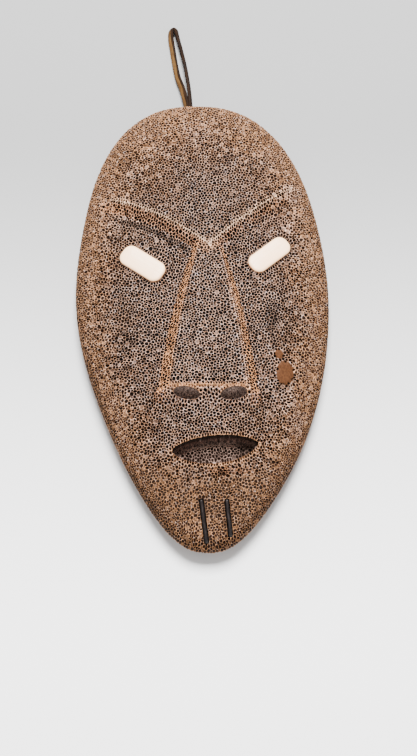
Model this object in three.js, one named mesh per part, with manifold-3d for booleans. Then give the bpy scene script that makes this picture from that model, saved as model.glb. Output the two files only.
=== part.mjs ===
// A carved whalebone face mask with ivory eyes, two baleen strips in the chin and a hide hanging loop.
// Millimetres. The mask lies on its flat back: +X is the viewer's right, +Y the crown, +Z out of the face.

import * as THREE from 'three';
import { mergeVertices } from 'three/addons/utils/BufferGeometryUtils.js';
import Module from 'manifold-3d';

const wasm = await Module();
wasm.setup();

// Driving dimensions of the bone
const LENGTH = 159.9;
const HALF_LENGTH = LENGTH / 2;
const RIM_HEIGHT = 6;
const DOME_RISE = 15;
const DOME_POWER = 2.6;
const BACK_INSET = 3;
// Above 2 the outline is squarer than an ellipse
const SQUARENESS = 2.4;
// Half widths that such an oval would have, at five even stations from chin to crown
const FULLNESS = [25.7, 36.8, 43.8, 43.8, 44.4];
// Sideways drift of the carver's middle line at the same stations
const MIDLINE = [2.0, 2.3, 0.2, -0.8, -2.4];

// Brow: two arrises that climb from the bridge, each as rise * d - bend * d * d
const BRIDGE = { x: 2.2, y: 23.8 };
const BROW_LEFT = { rise: 0.78, bend: 0.0078, reach: 34 };
const BROW_RIGHT = { rise: 0.91, bend: 0.0048, reach: 29.5 };
// Eye hollows: a cove under the brow that runs out down the cheek and towards the rim
const HOLLOW_DEPTH = 3.6;
const COVE_WIDTH = 6.5;
const HOLLOW_LENGTH = 62;
const HOLLOW_FADE = [0.66, 0.93];
// Shallow valley along each side of the nose
const VALLEY = { depth: 1.0, offset: 4.5, width: 5, top: 16, topFade: 10, bottom: -30, bottomFade: 12 };

// Nose: a wedge with a flat front and sloping sides and underside
const NOSE = {
  x: 2.0, top: 25, base: -26.5, topHeight: 20.6, rise: 7.0,
  topHalfWidth: 3.0, baseHalfWidth: 12.8, bulge: 1.2, sideSlope: 2.0, underSlope: 1.43,
};
const NOSTRIL = {
  x: 2.75, offset: 7.75, y: -28.8, z: 24.0, radii: [4.5, 1.8, 3.6], tilt: 0.35, splay: 0.12,
};

// Mouth: a lens-shaped recess, whose wall turns into a dished floor by shrinking its outline
const MOUTH = {
  x: 4.3, y: -45.8, halfWidth: 14.6, upperSag: 3.8, lowerSag: 5.6, roundness: 0.68, tilt: 0.092,
  floor: 12.4, floorShift: 0.9, outlinePoints: 32,
  outlines: [
    { up: 13.6, scale: 1 },
    { up: 2.6, scale: 0.96 },
    { up: 0.9, scale: 0.87 },
    { up: 0, scale: 0.66 },
  ],
};

// Ivory eyes: rounded bars set flush in pockets
const GAP = 0.3;
const EYE = { corner: 3.0, thickness: 2.4, proud: 0.35 };
const LEFT_EYE = { x: -20.5, y: 17.9, length: 16.9, width: 7.7, turn: -0.6 };
const RIGHT_EYE = { x: 23.1, y: 21.3, length: 16.5, width: 7.1, turn: 0.69 };

// Baleen strips: thin blades in slots down the chin
const STRIP = { thickness: 1.35, depth: 2.0, proud: 0.25, steps: 8 };
const LEFT_STRIP = { from: [-0.3, -63.0], to: [1.6, -77.0] };
const RIGHT_STRIP = { from: [8.1, -63.0], to: [9.5, -74.8] };

// Hide loop: a flat thong whose two ends go into a socket in the crown's edge
const THONG = { width: 2.8, thickness: 1.1, corner: 0.3, steps: 48 };
const SOCKET = { x: -5.1, z: 3.0, width: 3.2, height: 3.4, mouthY: 86, endY: 73.6, lean: 0.03 };
const LOOP_POINTS = [
  [-5.65, 74.4, 3.0], [-5.75, 78.5, 3.0], [-5.9, 82.3, 2.9], [-7.3, 88.3, 2.5], [-9.0, 93.1, 2.1],
  [-10.1, 98.4, 1.75], [-10.95, 103.7, 1.55], [-11.7, 108.5, 1.5], [-11.85, 111.0, 1.5],
  [-11.55, 112.3, 1.5], [-10.75, 112.95, 1.5], [-9.95, 112.4, 1.5], [-9.6, 111.1, 1.5],
  [-8.95, 108.5, 1.5], [-7.7, 103.7, 1.55], [-6.5, 98.4, 1.75], [-5.6, 93.1, 2.1], [-4.95, 88.3, 2.5],
  [-4.45, 82.3, 2.9], [-4.35, 78.5, 3.0], [-4.25, 74.4, 3.0],
];

// Spacing of the net of points that the face is modelled on
const RIM_POINTS = 80;
const RIM_RINGS = [0.865, 0.92, 0.965, 0.992, 1];
const GUARD_RING = 1.6;
const EDGE_RINGS = [0.72, 0.42, 0.16, 0];
const NET_SPACING = 2.8;
const NET_EDGE = 0.825;
const NET_COLUMNS = 20;
const ROW_SPACING = 2.0;
const BROW_ROWS = [-1.6, 0, 1.7, 4.0, 6.5];
// Nearest that two points of rows may lie, and a lattice point to a row
const ROW_CLEARANCE = 0.55;
const LATTICE_CLEARANCE = 1.25;

const BONE = new THREE.MeshStandardMaterial({ color: 0x9c7d68, roughness: 0.85, metalness: 0 });
const IVORY = new THREE.MeshStandardMaterial({ color: 0xf2e3d2, roughness: 0.4, metalness: 0 });
const BALEEN = new THREE.MeshStandardMaterial({ color: 0x2e2624, roughness: 0.45, metalness: 0 });
const HIDE = new THREE.MeshStandardMaterial({ color: 0x6b4526, roughness: 0.7, metalness: 0 });

const clamp = THREE.MathUtils.clamp;
const smoothstep = THREE.MathUtils.smoothstep;

// Catmull-Rom curve through evenly spaced stations from chin (-1) to crown (+1)
function alongMask(values, q) {
  const last = values.length - 1;
  const place = clamp((q + 1) / 2, 0, 1) * last;
  const i = Math.min(Math.floor(place), last - 1);
  const f = place - i;
  const before = i > 0 ? values[i - 1] : 2 * values[0] - values[1];
  const after = i < last - 1 ? values[i + 2] : 2 * values[last] - values[last - 1];
  const a = values[i];
  const b = values[i + 1];
  return 0.5 * (2 * a + (b - before) * f + (2 * before - 5 * a + 4 * b - after) * f * f
    + (3 * a - before - 3 * b + after) * f * f * f);
}

// Share of the way from the middle (0) to the rim (1)
function shareOut(x, y) {
  const q = y / HALF_LENGTH;
  const across = (x - alongMask(MIDLINE, q)) / alongMask(FULLNESS, q);
  return (Math.abs(q) ** SQUARENESS + Math.abs(across) ** SQUARENESS) ** (1 / SQUARENESS);
}

// The point at a share of the way out, in the direction of an angle
function pointAt(share, angle) {
  const [cosine, sine] = [Math.cos(angle), Math.sin(angle)];
  const reach = share / (Math.abs(cosine) ** SQUARENESS + Math.abs(sine) ** SQUARENESS) ** (1 / SQUARENESS);
  const q = reach * sine;
  return [alongMask(MIDLINE, q) + reach * cosine * alongMask(FULLNESS, q), q * HALF_LENGTH];
}

function domeHeight(x, y) {
  const share = Math.min(shareOut(x, y), 1);
  return RIM_HEIGHT + DOME_RISE * Math.sqrt(1 - share ** DOME_POWER);
}

function browLine(x) {
  const side = x < BRIDGE.x ? BROW_LEFT : BROW_RIGHT;
  const d = Math.abs(x - BRIDGE.x);
  return BRIDGE.y + side.rise * d - side.bend * d * d;
}

function noseHalfWidth(y) {
  const down = (NOSE.top - y) / (NOSE.top - NOSE.base);
  const straight = NOSE.topHalfWidth + (NOSE.baseHalfWidth - NOSE.topHalfWidth) * down;
  return straight + 4 * NOSE.bulge * Math.max(down * (1 - down), 0);
}

// How far the face is cut in below the dome; above the brow it is negative, so nothing is cut there
function hollowDepth(x, y) {
  const below = browLine(x) - y;
  const slope = 2 * HOLLOW_DEPTH / COVE_WIDTH;
  if (below < 0) {
    return below * slope;
  }
  const cove = 1 - (1 - Math.min(below / COVE_WIDTH, 1)) ** 2;
  const runOut = 1 - smoothstep(below, COVE_WIDTH, HOLLOW_LENGTH);
  const fade = 1 - smoothstep(shareOut(x, y), HOLLOW_FADE[0], HOLLOW_FADE[1]);
  const beside = (Math.abs(x - NOSE.x) - noseHalfWidth(y) - VALLEY.offset) / VALLEY.width;
  const along = smoothstep(y, VALLEY.bottom, VALLEY.bottom + VALLEY.bottomFade)
    * (1 - smoothstep(y, VALLEY.top - VALLEY.topFade, VALLEY.top));
  return (HOLLOW_DEPTH * cove * runOut + VALLEY.depth * Math.exp(-beside * beside) * along) * fade;
}

function cheekHeight(x, y) {
  return domeHeight(x, y) - Math.max(hollowDepth(x, y), 0);
}

function noseHeight(x, y) {
  const down = (NOSE.top - y) / (NOSE.top - NOSE.base);
  const side = NOSE.sideSlope * (Math.abs(x - NOSE.x) - noseHalfWidth(y));
  const under = NOSE.underSlope * (NOSE.base - y);
  return NOSE.topHeight + NOSE.rise * down - Math.hypot(Math.max(side, 0), Math.max(under, 0));
}

function faceHeight(x, y) {
  return Math.max(cheekHeight(x, y), noseHeight(x, y));
}

function faceNormal(x, y) {
  const step = 2;
  const slopeX = (faceHeight(x + step, y) - faceHeight(x - step, y)) / (2 * step);
  const slopeY = (faceHeight(x, y + step) - faceHeight(x, y - step)) / (2 * step);
  return new THREE.Vector3(-slopeX, -slopeY, 1).normalize();
}

// Points along a curve, at the row spacing
function row(curve, length) {
  const count = Math.max(Math.round(length / ROW_SPACING), 1);
  return Array.from({ length: count + 1 }, (_, i) => curve(i / count));
}

// Where the nose meets the cheek, going outwards from a point on its edge
function noseFoot(x, y, alongX, alongY) {
  let near = 0;
  let far = 12;
  for (let i = 0; i < 40; i += 1) {
    const half = (near + far) / 2;
    const atX = x + alongX * half;
    const atY = y + alongY * half;
    if (noseHeight(atX, atY) > cheekHeight(atX, atY)) {
      near = half;
    } else {
      far = half;
    }
  }
  return [x + alongX * near, y + alongY * near];
}

// Rows of points along the brow and the nose, which keep their edges sharp
function featureRows() {
  const browRows = [];
  for (const offset of BROW_ROWS) {
    browRows.push(...row((t) => {
      const x = BRIDGE.x - BROW_LEFT.reach * t;
      return [x, browLine(x) - offset];
    }, BROW_LEFT.reach * 1.15));
    browRows.push(...row((t) => {
      const x = BRIDGE.x + BROW_RIGHT.reach * t;
      return [x, browLine(x) - offset];
    }, BROW_RIGHT.reach * 1.25).slice(1));
  }
  const noseLength = NOSE.top - NOSE.base;
  const onNose = (x, y) => noseHeight(x, y) > cheekHeight(x, y) - 0.01;
  const nosePoints = [];
  for (const side of [-1, 1]) {
    const edge = row((t) => {
      const y = NOSE.top - noseLength * t;
      return [NOSE.x + side * noseHalfWidth(y), y];
    }, noseLength);
    nosePoints.push(...edge);
    for (const [x, y] of edge.filter((p) => onNose(...p))) {
      nosePoints.push(noseFoot(x, y, side, 0));
    }
    const cornerX = NOSE.x + side * noseHalfWidth(NOSE.base);
    const lead = NOSE.underSlope / NOSE.sideSlope;
    const corner = noseFoot(cornerX, NOSE.base, side * lead, -1);
    nosePoints.push(corner, [(cornerX + corner[0]) / 2, (NOSE.base + corner[1]) / 2]);
  }
  const baseHalf = noseHalfWidth(NOSE.base);
  const baseRow = row((t) => [NOSE.x + baseHalf * (2 * t - 1), NOSE.base], 2 * baseHalf);
  nosePoints.push(...baseRow.slice(1, -1));
  nosePoints.push(...baseRow.map(([x, y]) => noseFoot(x, y, 0, -1)));
  // The brow's rows stop at the nose
  const browPoints = browRows.filter(([x, y]) => !onNose(x, y) || y > NOSE.top);
  return thinned([...nosePoints, ...browPoints], [], ROW_CLEARANCE);
}

// Keeps points that stand clear of each other and of those already placed
function thinned(candidates, placed, clearance) {
  const kept = [];
  for (const point of candidates) {
    const clear = (other) => Math.hypot(point[0] - other[0], point[1] - other[1]) > clearance;
    if (placed.every(clear) && kept.every(clear)) {
      kept.push(point);
    }
  }
  return kept;
}

function ring(share) {
  return Array.from({ length: RIM_POINTS }, (_, i) => pointAt(share, 2 * Math.PI * i / RIM_POINTS));
}

// The net inside the innermost rim ring: that ring, rows on the features, and a lattice between them
function facePoints() {
  const innerRing = ring(RIM_RINGS[0]);
  const inFace = ([x, y]) => shareOut(x, y) < NET_EDGE;
  const features = featureRows().filter(inFace);
  const lattice = [];
  const rise = NET_SPACING * Math.sqrt(3) / 2;
  for (let j = Math.ceil(-HALF_LENGTH / rise); j * rise < HALF_LENGTH; j += 1) {
    for (let i = -NET_COLUMNS; i <= NET_COLUMNS; i += 1) {
      // A small wobble keeps four points off one circle
      const wobble = 0.05 * Math.sin(12.9 * i + 78.2 * j);
      lattice.push([(i + (j % 2) / 2) * NET_SPACING + wobble, j * rise + wobble]);
    }
  }
  return [...innerRing, ...features, ...thinned(lattice.filter(inFace), features, LATTICE_CLEARANCE)];
}

function circleThrough(points, a, b, c) {
  const [ax, ay] = points[a];
  const [bx, by] = [points[b][0] - ax, points[b][1] - ay];
  const [cx, cy] = [points[c][0] - ax, points[c][1] - ay];
  const twice = 2 * (bx * cy - by * cx);
  const x = (cy * (bx * bx + by * by) - by * (cx * cx + cy * cy)) / twice;
  const y = (bx * (cx * cx + cy * cy) - cx * (bx * bx + by * by)) / twice;
  return { corners: [a, b, c], x: x + ax, y: y + ay, square: x * x + y * y };
}

// Delaunay triangles of the points, each anticlockwise seen from above
function triangulate(inside) {
  const points = [...inside, ...ring(GUARD_RING), [-9000, -8000], [9100, -8000], [0, 9000]];
  const corner = points.length - 3;
  let triangles = [circleThrough(points, corner, corner + 1, corner + 2)];
  for (let i = 0; i < corner; i += 1) {
    const [x, y] = points[i];
    const open = new Map();
    const kept = [];
    for (const triangle of triangles) {
      if ((x - triangle.x) ** 2 + (y - triangle.y) ** 2 > triangle.square) {
        kept.push(triangle);
        continue;
      }
      const [a, b, c] = triangle.corners;
      for (const [from, to] of [[a, b], [b, c], [c, a]]) {
        if (!open.delete(`${to},${from}`)) {
          open.set(`${from},${to}`, [from, to]);
        }
      }
    }
    for (const [from, to] of open.values()) {
      kept.push(circleThrough(points, from, to, i));
    }
    triangles = kept;
  }
  const isInside = (corners) => corners.every((k) => k < inside.length);
  return triangles.map((triangle) => triangle.corners).filter(isInside);
}

function closedGeometry(positions, indices) {
  const geometry = new THREE.BufferGeometry();
  geometry.setAttribute('position', new THREE.Float32BufferAttribute(positions.flat(), 3));
  geometry.setIndex(indices.flat());
  return geometry;
}

// A point of the edge that rolls under from the rim (level 1) to the flat back (level 0)
function edgePoint(rim, k, level) {
  const [x, y] = rim[k];
  const [nextX, nextY] = rim[(k + 1) % RIM_POINTS];
  const [lastX, lastY] = rim[(k + RIM_POINTS - 1) % RIM_POINTS];
  const along = new THREE.Vector2(nextX - lastX, nextY - lastY).normalize();
  const inset = BACK_INSET * (1 - Math.sqrt(1 - (1 - level) ** 2));
  return [x - along.y * inset, y + along.x * inset, RIM_HEIGHT * level];
}

// The uncut bone: the face on its net, an edge that rolls under, and a flat back
function boneGeometry() {
  const flat = facePoints();
  const positions = flat.map(([x, y]) => [x, y, faceHeight(x, y)]);
  const indices = triangulate(flat);
  const rim = ring(1);
  const bands = [
    ...RIM_RINGS.slice(1).map((share) => ring(share).map(([x, y]) => [x, y, faceHeight(x, y)])),
    ...EDGE_RINGS.map((level) => rim.map((_, k) => edgePoint(rim, k, level))),
  ];
  let inner = 0;
  for (const band of bands) {
    const outer = positions.length;
    positions.push(...band);
    for (let k = 0; k < RIM_POINTS; k += 1) {
      const next = (k + 1) % RIM_POINTS;
      indices.push([inner + k, outer + k, outer + next], [inner + k, outer + next, inner + next]);
    }
    inner = outer;
  }
  const outline = positions.slice(inner).map(([x, y]) => new THREE.Vector2(x, y));
  for (const [a, b, c] of THREE.ShapeUtils.triangulateShape(outline, [])) {
    indices.push([inner + a, inner + c, inner + b]);
  }
  return closedGeometry(positions, indices);
}

function toSolid(geometry) {
  const plain = geometry.clone();
  plain.deleteAttribute('normal');
  plain.deleteAttribute('uv');
  const merged = mergeVertices(plain, 1e-4);
  return new wasm.Manifold(new wasm.Mesh({
    numProp: 3,
    vertProperties: new Float32Array(merged.getAttribute('position').array),
    triVerts: new Uint32Array(merged.getIndex().array),
  }));
}

function fromSolid(solid) {
  const { vertProperties, triVerts } = solid.getMesh();
  const geometry = new THREE.BufferGeometry();
  geometry.setAttribute('position', new THREE.BufferAttribute(new Float32Array(vertProperties), 3));
  geometry.setIndex(new THREE.BufferAttribute(new Uint32Array(triVerts), 1));
  geometry.computeVertexNormals();
  return geometry;
}

// A point of the mouth's lens outline, going round anticlockwise from the right corner
function lensPoint(t) {
  const across = Math.cos(2 * Math.PI * t);
  const sag = t < 0.5 ? MOUTH.upperSag : -MOUTH.lowerSag;
  return [MOUTH.halfWidth * across, sag * (1 - across * across) ** MOUTH.roundness];
}

// The mouth's recess: lens outlines stacked from above the lips down to a dished floor
function mouthCutter() {
  const count = MOUTH.outlinePoints;
  const positions = [];
  const indices = [];
  MOUTH.outlines.forEach(({ up, scale }, level) => {
    for (let k = 0; k < count; k += 1) {
      const [x, y] = lensPoint(k / count);
      positions.push([x * scale, y * scale + MOUTH.floorShift * (1 - scale), MOUTH.floor + up]);
      const next = (k + 1) % count;
      if (level > 0) {
        const above = (level - 1) * count;
        const below = level * count;
        indices.push([above + k, below + k, below + next], [above + k, below + next, above + next]);
      }
    }
  });
  const bottom = (MOUTH.outlines.length - 1) * count;
  for (let k = 1; k < count - 1; k += 1) {
    indices.push([0, k, k + 1], [bottom, bottom + k + 1, bottom + k]);
  }
  const geometry = closedGeometry(positions, indices);
  geometry.rotateZ(MOUTH.tilt);
  return geometry.translate(MOUTH.x, MOUTH.y, 0);
}

function nostrilCutter(side) {
  const geometry = new THREE.SphereGeometry(1, 18, 12);
  geometry.scale(...NOSTRIL.radii);
  geometry.rotateX(NOSTRIL.tilt);
  geometry.rotateZ(side * NOSTRIL.splay);
  return geometry.translate(NOSTRIL.x + side * NOSTRIL.offset, NOSTRIL.y, NOSTRIL.z);
}

// A bar with rounded corners, lying on the face: its top is lift above the surface
function eyeGeometry(eye, growth, lift, depth) {
  const halfLength = eye.length / 2 + growth;
  const halfWidth = eye.width / 2 + growth;
  const corner = EYE.corner + growth;
  const shape = new THREE.Shape();
  shape.absarc(halfLength - corner, halfWidth - corner, corner, 0, Math.PI / 2);
  shape.absarc(-halfLength + corner, halfWidth - corner, corner, Math.PI / 2, Math.PI);
  shape.absarc(-halfLength + corner, -halfWidth + corner, corner, Math.PI, 1.5 * Math.PI);
  shape.absarc(halfLength - corner, -halfWidth + corner, corner, 1.5 * Math.PI, 2 * Math.PI);
  const geometry = new THREE.ExtrudeGeometry(shape, { depth, bevelEnabled: false, curveSegments: 6 });
  geometry.translate(0, 0, lift - depth);
  geometry.rotateZ(eye.turn);
  const up = new THREE.Vector3(0, 0, 1);
  geometry.applyQuaternion(new THREE.Quaternion().setFromUnitVectors(up, faceNormal(eye.x, eye.y)));
  return geometry.translate(eye.x, eye.y, faceHeight(eye.x, eye.y));
}

// A blade that follows the chin: rise above the surface, sink below it, half as thick to each side
function stripGeometry(strip, thickness, rise, sink, growth) {
  const [startX, startY] = strip.from;
  const run = new THREE.Vector2(strip.to[0] - startX, strip.to[1] - startY);
  const length = run.length();
  const along = run.clone().normalize();
  const outline = [];
  for (let i = 0; i <= STRIP.steps; i += 1) {
    const far = -growth + (length + 2 * growth) * i / STRIP.steps;
    outline.push([far, faceHeight(startX + along.x * far, startY + along.y * far)]);
  }
  const shape = new THREE.Shape([
    ...outline.map(([far, z]) => new THREE.Vector2(far, z + rise)),
    ...outline.reverse().map(([far, z]) => new THREE.Vector2(far, z - sink)),
  ]);
  const geometry = new THREE.ExtrudeGeometry(shape, { depth: thickness, bevelEnabled: false });
  geometry.translate(0, 0, -thickness / 2);
  // The outline's first axis turns to run along the strip and its second axis turns upright
  geometry.applyMatrix4(new THREE.Matrix4().makeBasis(
    new THREE.Vector3(along.x, along.y, 0),
    new THREE.Vector3(0, 0, 1),
    new THREE.Vector3(along.y, -along.x, 0),
  ));
  return geometry.translate(startX, startY, 0);
}

function socketCutter() {
  const depth = SOCKET.mouthY - SOCKET.endY;
  const geometry = new THREE.BoxGeometry(SOCKET.width, depth, SOCKET.height);
  geometry.rotateZ(SOCKET.lean);
  return geometry.translate(SOCKET.x, SOCKET.endY + depth / 2, SOCKET.z);
}

function loopGeometry() {
  const half = THONG.width / 2;
  const thin = THONG.thickness / 2;
  const cut = THONG.corner;
  const section = new THREE.Shape([
    new THREE.Vector2(half, thin - cut), new THREE.Vector2(half - cut, thin),
    new THREE.Vector2(-half + cut, thin), new THREE.Vector2(-half, thin - cut),
    new THREE.Vector2(-half, -thin + cut), new THREE.Vector2(-half + cut, -thin),
    new THREE.Vector2(half - cut, -thin), new THREE.Vector2(half, -thin + cut),
  ]);
  const path = new THREE.CatmullRomCurve3(LOOP_POINTS.map((point) => new THREE.Vector3(...point)));
  return new THREE.ExtrudeGeometry(section, { steps: THONG.steps, extrudePath: path, bevelEnabled: false });
}

function maskBody() {
  const pocket = [GAP, EYE.thickness, 2 * EYE.thickness + GAP];
  const slot = [STRIP.thickness + 2 * GAP, STRIP.depth, STRIP.depth + GAP, GAP];
  const cutters = [
    mouthCutter(),
    nostrilCutter(-1),
    nostrilCutter(1),
    eyeGeometry(LEFT_EYE, ...pocket),
    eyeGeometry(RIGHT_EYE, ...pocket),
    stripGeometry(LEFT_STRIP, ...slot),
    stripGeometry(RIGHT_STRIP, ...slot),
    socketCutter(),
  ];
  const cut = cutters.reduce((bone, cutter) => bone.subtract(toSolid(cutter)), toSolid(boneGeometry()));
  return fromSolid(cut);
}

const mask = new THREE.Group();

function addPiece(name, geometry, material) {
  const mesh = new THREE.Mesh(geometry, material);
  mesh.name = name;
  mask.add(mesh);
  return mesh;
}

const body = addPiece('mask_body', maskBody(), BONE);
addPiece('left_eye', eyeGeometry(LEFT_EYE, 0, EYE.proud, EYE.proud + EYE.thickness), IVORY);
addPiece('right_eye', eyeGeometry(RIGHT_EYE, 0, EYE.proud, EYE.proud + EYE.thickness), IVORY);
const blade = [STRIP.thickness, STRIP.proud, STRIP.depth, 0];
addPiece('left_chin_inlay', stripGeometry(LEFT_STRIP, ...blade), BALEEN);
addPiece('right_chin_inlay', stripGeometry(RIGHT_STRIP, ...blade), BALEEN);
addPiece('hanging_loop', loopGeometry(), HIDE);

// The origin is under the middle of the bone's box
body.geometry.computeBoundingBox();
const middle = body.geometry.boundingBox.getCenter(new THREE.Vector3());
mask.position.set(-middle.x, -middle.y, 0);

export default mask;
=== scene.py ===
# %% [markdown]
# # A carved whalebone mask
#
# The real mask is one slice of old whalebone, carved by hand into a long face. Two bars of ivory are
# let in as eyes, two blades of baleen stand in slots down the chin, and a loop of stiff hide goes
# into the edge at the crown. This lesson dresses the packed solids with the real surface. It starts
# with the frame, which holds every size, and with the units: metres, +Z out of the face.

# %% Load the frame
import math

import bmesh
import bpy
import numpy as np
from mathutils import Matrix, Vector, geometry, kdtree


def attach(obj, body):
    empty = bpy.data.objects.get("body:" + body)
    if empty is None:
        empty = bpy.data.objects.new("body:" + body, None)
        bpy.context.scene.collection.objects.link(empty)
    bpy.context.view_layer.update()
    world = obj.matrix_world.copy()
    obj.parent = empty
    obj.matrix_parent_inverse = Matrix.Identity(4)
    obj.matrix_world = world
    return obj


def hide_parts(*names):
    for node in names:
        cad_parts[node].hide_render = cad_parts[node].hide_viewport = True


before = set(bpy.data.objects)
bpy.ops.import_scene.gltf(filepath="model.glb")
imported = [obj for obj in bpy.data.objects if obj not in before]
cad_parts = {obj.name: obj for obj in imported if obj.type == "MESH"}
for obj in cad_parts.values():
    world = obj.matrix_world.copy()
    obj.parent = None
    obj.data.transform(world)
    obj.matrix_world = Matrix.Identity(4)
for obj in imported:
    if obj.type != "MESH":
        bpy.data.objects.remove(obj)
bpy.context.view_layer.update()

MM = 0.001
BODY = "root"
# The frame's origin is under the middle of the bone's box, and the carver's lines start from here
CARVER_ORIGIN = np.array([0.0612, 0.0, 0.0])


def to_frame(points):
    """Turns points in the carver's millimetres into metres in the frame."""
    return (np.asarray(points, float) + CARVER_ORIGIN) * MM


print("nodes:", sorted(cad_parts))

# %% [markdown]
# ## Camera
#
# The mask lies on a table and the photographer stands at its chin, looking nearly straight down, 12
# degrees off the vertical. A 60 mm lens on a 36 mm frame, 44 cm away, then shows the mask at its size
# in the picture. A longer lens from further off would make the nose look too small.

# %% Camera
CAMERA_PLACE = (2.2, -110.2, 430.5)
CAMERA_TILT = math.radians(12)

camera_data = bpy.data.cameras.new("camera")
camera_data.lens = 60
camera_data.sensor_width = 36
camera_data.clip_start = 0.01
camera = bpy.data.objects.new("camera", camera_data)
camera.location = Vector(CAMERA_PLACE) * MM
camera.rotation_euler = (CAMERA_TILT, 0, 0)
bpy.context.scene.collection.objects.link(camera)
bpy.context.scene.camera = camera
print("camera at", tuple(round(value, 3) for value in camera.location))

# %% [markdown]
# ## Hanging loop
#
# The loop is a thong of rawhide: flat, stiff, folded once at its top, with both ends pushed into a
# socket in the crown's edge. A curve with a flat bevel could make it. A mesh strip is used instead,
# because the thong rolls on the way: its outer face turns up on one strand and stands nearly upright
# on the other. The route is the one that the solid follows, point for point.

# %% Route of the thong
THONG_WIDTH = 2.8
THONG_THICKNESS = 1.1
LOOP_POINTS = [
    (-5.65, 74.4, 3.0), (-5.75, 78.5, 3.0), (-5.9, 82.3, 2.9), (-7.3, 88.3, 2.5), (-9.0, 93.1, 2.1),
    (-10.1, 98.4, 1.75), (-10.95, 103.7, 1.55), (-11.7, 108.5, 1.5), (-11.85, 111.0, 1.5),
    (-11.55, 112.3, 1.5), (-10.75, 112.95, 1.5), (-9.95, 112.4, 1.5), (-9.6, 111.1, 1.5),
    (-8.95, 108.5, 1.5), (-7.7, 103.7, 1.55), (-6.5, 98.4, 1.75), (-5.6, 93.1, 2.1), (-4.95, 88.3, 2.5),
    (-4.45, 82.3, 2.9), (-4.35, 78.5, 3.0), (-4.25, 74.4, 3.0),
]
STEPS_BETWEEN_POINTS = 8


def curve_between(a, b, c, d, f):
    """The Catmull-Rom curve from b to c, a share f of the way along."""
    return 0.5 * (2 * b + (c - a) * f + (2 * a - 5 * b + 4 * c - d) * f ** 2
                  + (3 * b - a - 3 * c + d) * f ** 3)


def with_ends(values):
    """The values, carried straight on by one more at each end."""
    return np.concatenate([[2 * values[0] - values[1]], values, [2 * values[-1] - values[-2]]])


def smooth_route(points, steps):
    """A smooth curve through the points, with some steps from each to the next."""
    points = with_ends(np.asarray(points, float))
    f = np.arange(steps)[:, None] / steps
    parts = [curve_between(*four, f) for four in zip(points, points[1:], points[2:], points[3:])]
    return np.vstack(parts + [points[-2]])


def distances_along(curve):
    """How far from its start each point of a curve lies."""
    return np.concatenate([[0], np.cumsum(np.linalg.norm(np.diff(curve, axis=0), axis=1))])


loop_route = smooth_route(LOOP_POINTS, STEPS_BETWEEN_POINTS)
loop_length = distances_along(loop_route)[-1]
print("thong length", round(loop_length, 1), "mm in", len(loop_route), "rings")

# %% Closed meshes
def mesh_piece(name, vertices, faces):
    """A mesh object at the origin, with its place in its vertices, in metres."""
    mesh = bpy.data.meshes.new(name)
    mesh.from_pydata([tuple(v) for v in vertices], [], [tuple(f) for f in faces])
    mesh.validate()
    piece = bpy.data.objects.new(name, mesh)
    bpy.context.scene.collection.objects.link(piece)
    return piece


def shade_smooth(mesh):
    mesh.polygons.foreach_set("use_smooth", [True] * len(mesh.polygons))


def closed_piece(name, vertices, faces):
    """A smooth closed piece, given in the carver's millimetres, with all its faces turned outwards."""
    piece = mesh_piece(name, to_frame(vertices), faces)
    work = bmesh.new()
    work.from_mesh(piece.data)
    bmesh.ops.recalc_face_normals(work, faces=work.faces)
    work.to_mesh(piece.data)
    work.free()
    shade_smooth(piece.data)
    return piece


def tube_faces(rings, around):
    """Quads between the rings of a tube, then a cap on its first ring and one on its last."""
    faces = []
    for i in range(rings - 1):
        for k in range(around):
            n = (k + 1) % around
            faces.append((i * around + k, i * around + n, (i + 1) * around + n, (i + 1) * around + k))
    last_ring = range((rings - 1) * around, rings * around)
    return faces + [tuple(range(around))[::-1], tuple(last_ring)]


def store(piece, name, values):
    """Keeps one number a vertex as an attribute that the materials read."""
    layer = piece.data.attributes.new(name, "FLOAT", "POINT")
    layer.data.foreach_set("value", np.asarray(values, np.float32))


print("a tube of 3 rings of 4 points has", len(tube_faces(3, 4)), "faces")

# %% Thong mesh
LEFT_ROLL = math.radians(34)
RIGHT_ROLL = math.radians(14)
ROLL_START = 0.35
ROLL_RUN = 0.3
SECTION_POINTS = 20
EDGE_SQUARENESS = 0.45
FACE_SQUARENESS = 0.7
SWELL = 0.05
SWELL_WAVES = 23
ROUGHNESS = 0.012
THONG_SEED = 3


def unit_rows(vectors):
    return vectors / np.linalg.norm(vectors, axis=1)[:, None]


def thong_section():
    """Across the width and through the thickness: a flat oval with square shoulders."""
    angle = np.arange(SECTION_POINTS) * 2 * np.pi / SECTION_POINTS
    across = np.sign(np.cos(angle)) * np.abs(np.cos(angle)) ** EDGE_SQUARENESS * THONG_WIDTH / 2
    through = np.sign(np.sin(angle)) * np.abs(np.sin(angle)) ** FACE_SQUARENESS * THONG_THICKNESS / 2
    return across, through


def thong_rings(route, across, through):
    """The section along the route, rolling over at the fold, with a hand-cut thickness."""
    wobble = np.random.default_rng(THONG_SEED)
    tangent = unit_rows(np.gradient(route, axis=0))
    share = np.linspace(0, 1, len(route))
    roll = LEFT_ROLL + (RIGHT_ROLL - LEFT_ROLL) * np.clip((share - ROLL_START) / ROLL_RUN, 0, 1)
    up = np.array([0.0, 0.0, 1.0])
    inward = unit_rows(np.cross(tangent, up))
    width_axis = np.cos(roll)[:, None] * up + np.sin(roll)[:, None] * inward
    thin_axis = np.cross(width_axis, tangent)
    swell = 1 + SWELL * np.sin(share * SWELL_WAVES) + wobble.normal(0, ROUGHNESS, len(route))
    rings = (route[:, None, :] + across[None, :, None] * width_axis[:, None, :]
             + (through[None, :] * swell[:, None])[..., None] * thin_axis[:, None, :])
    return rings.reshape(-1, 3)


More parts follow.
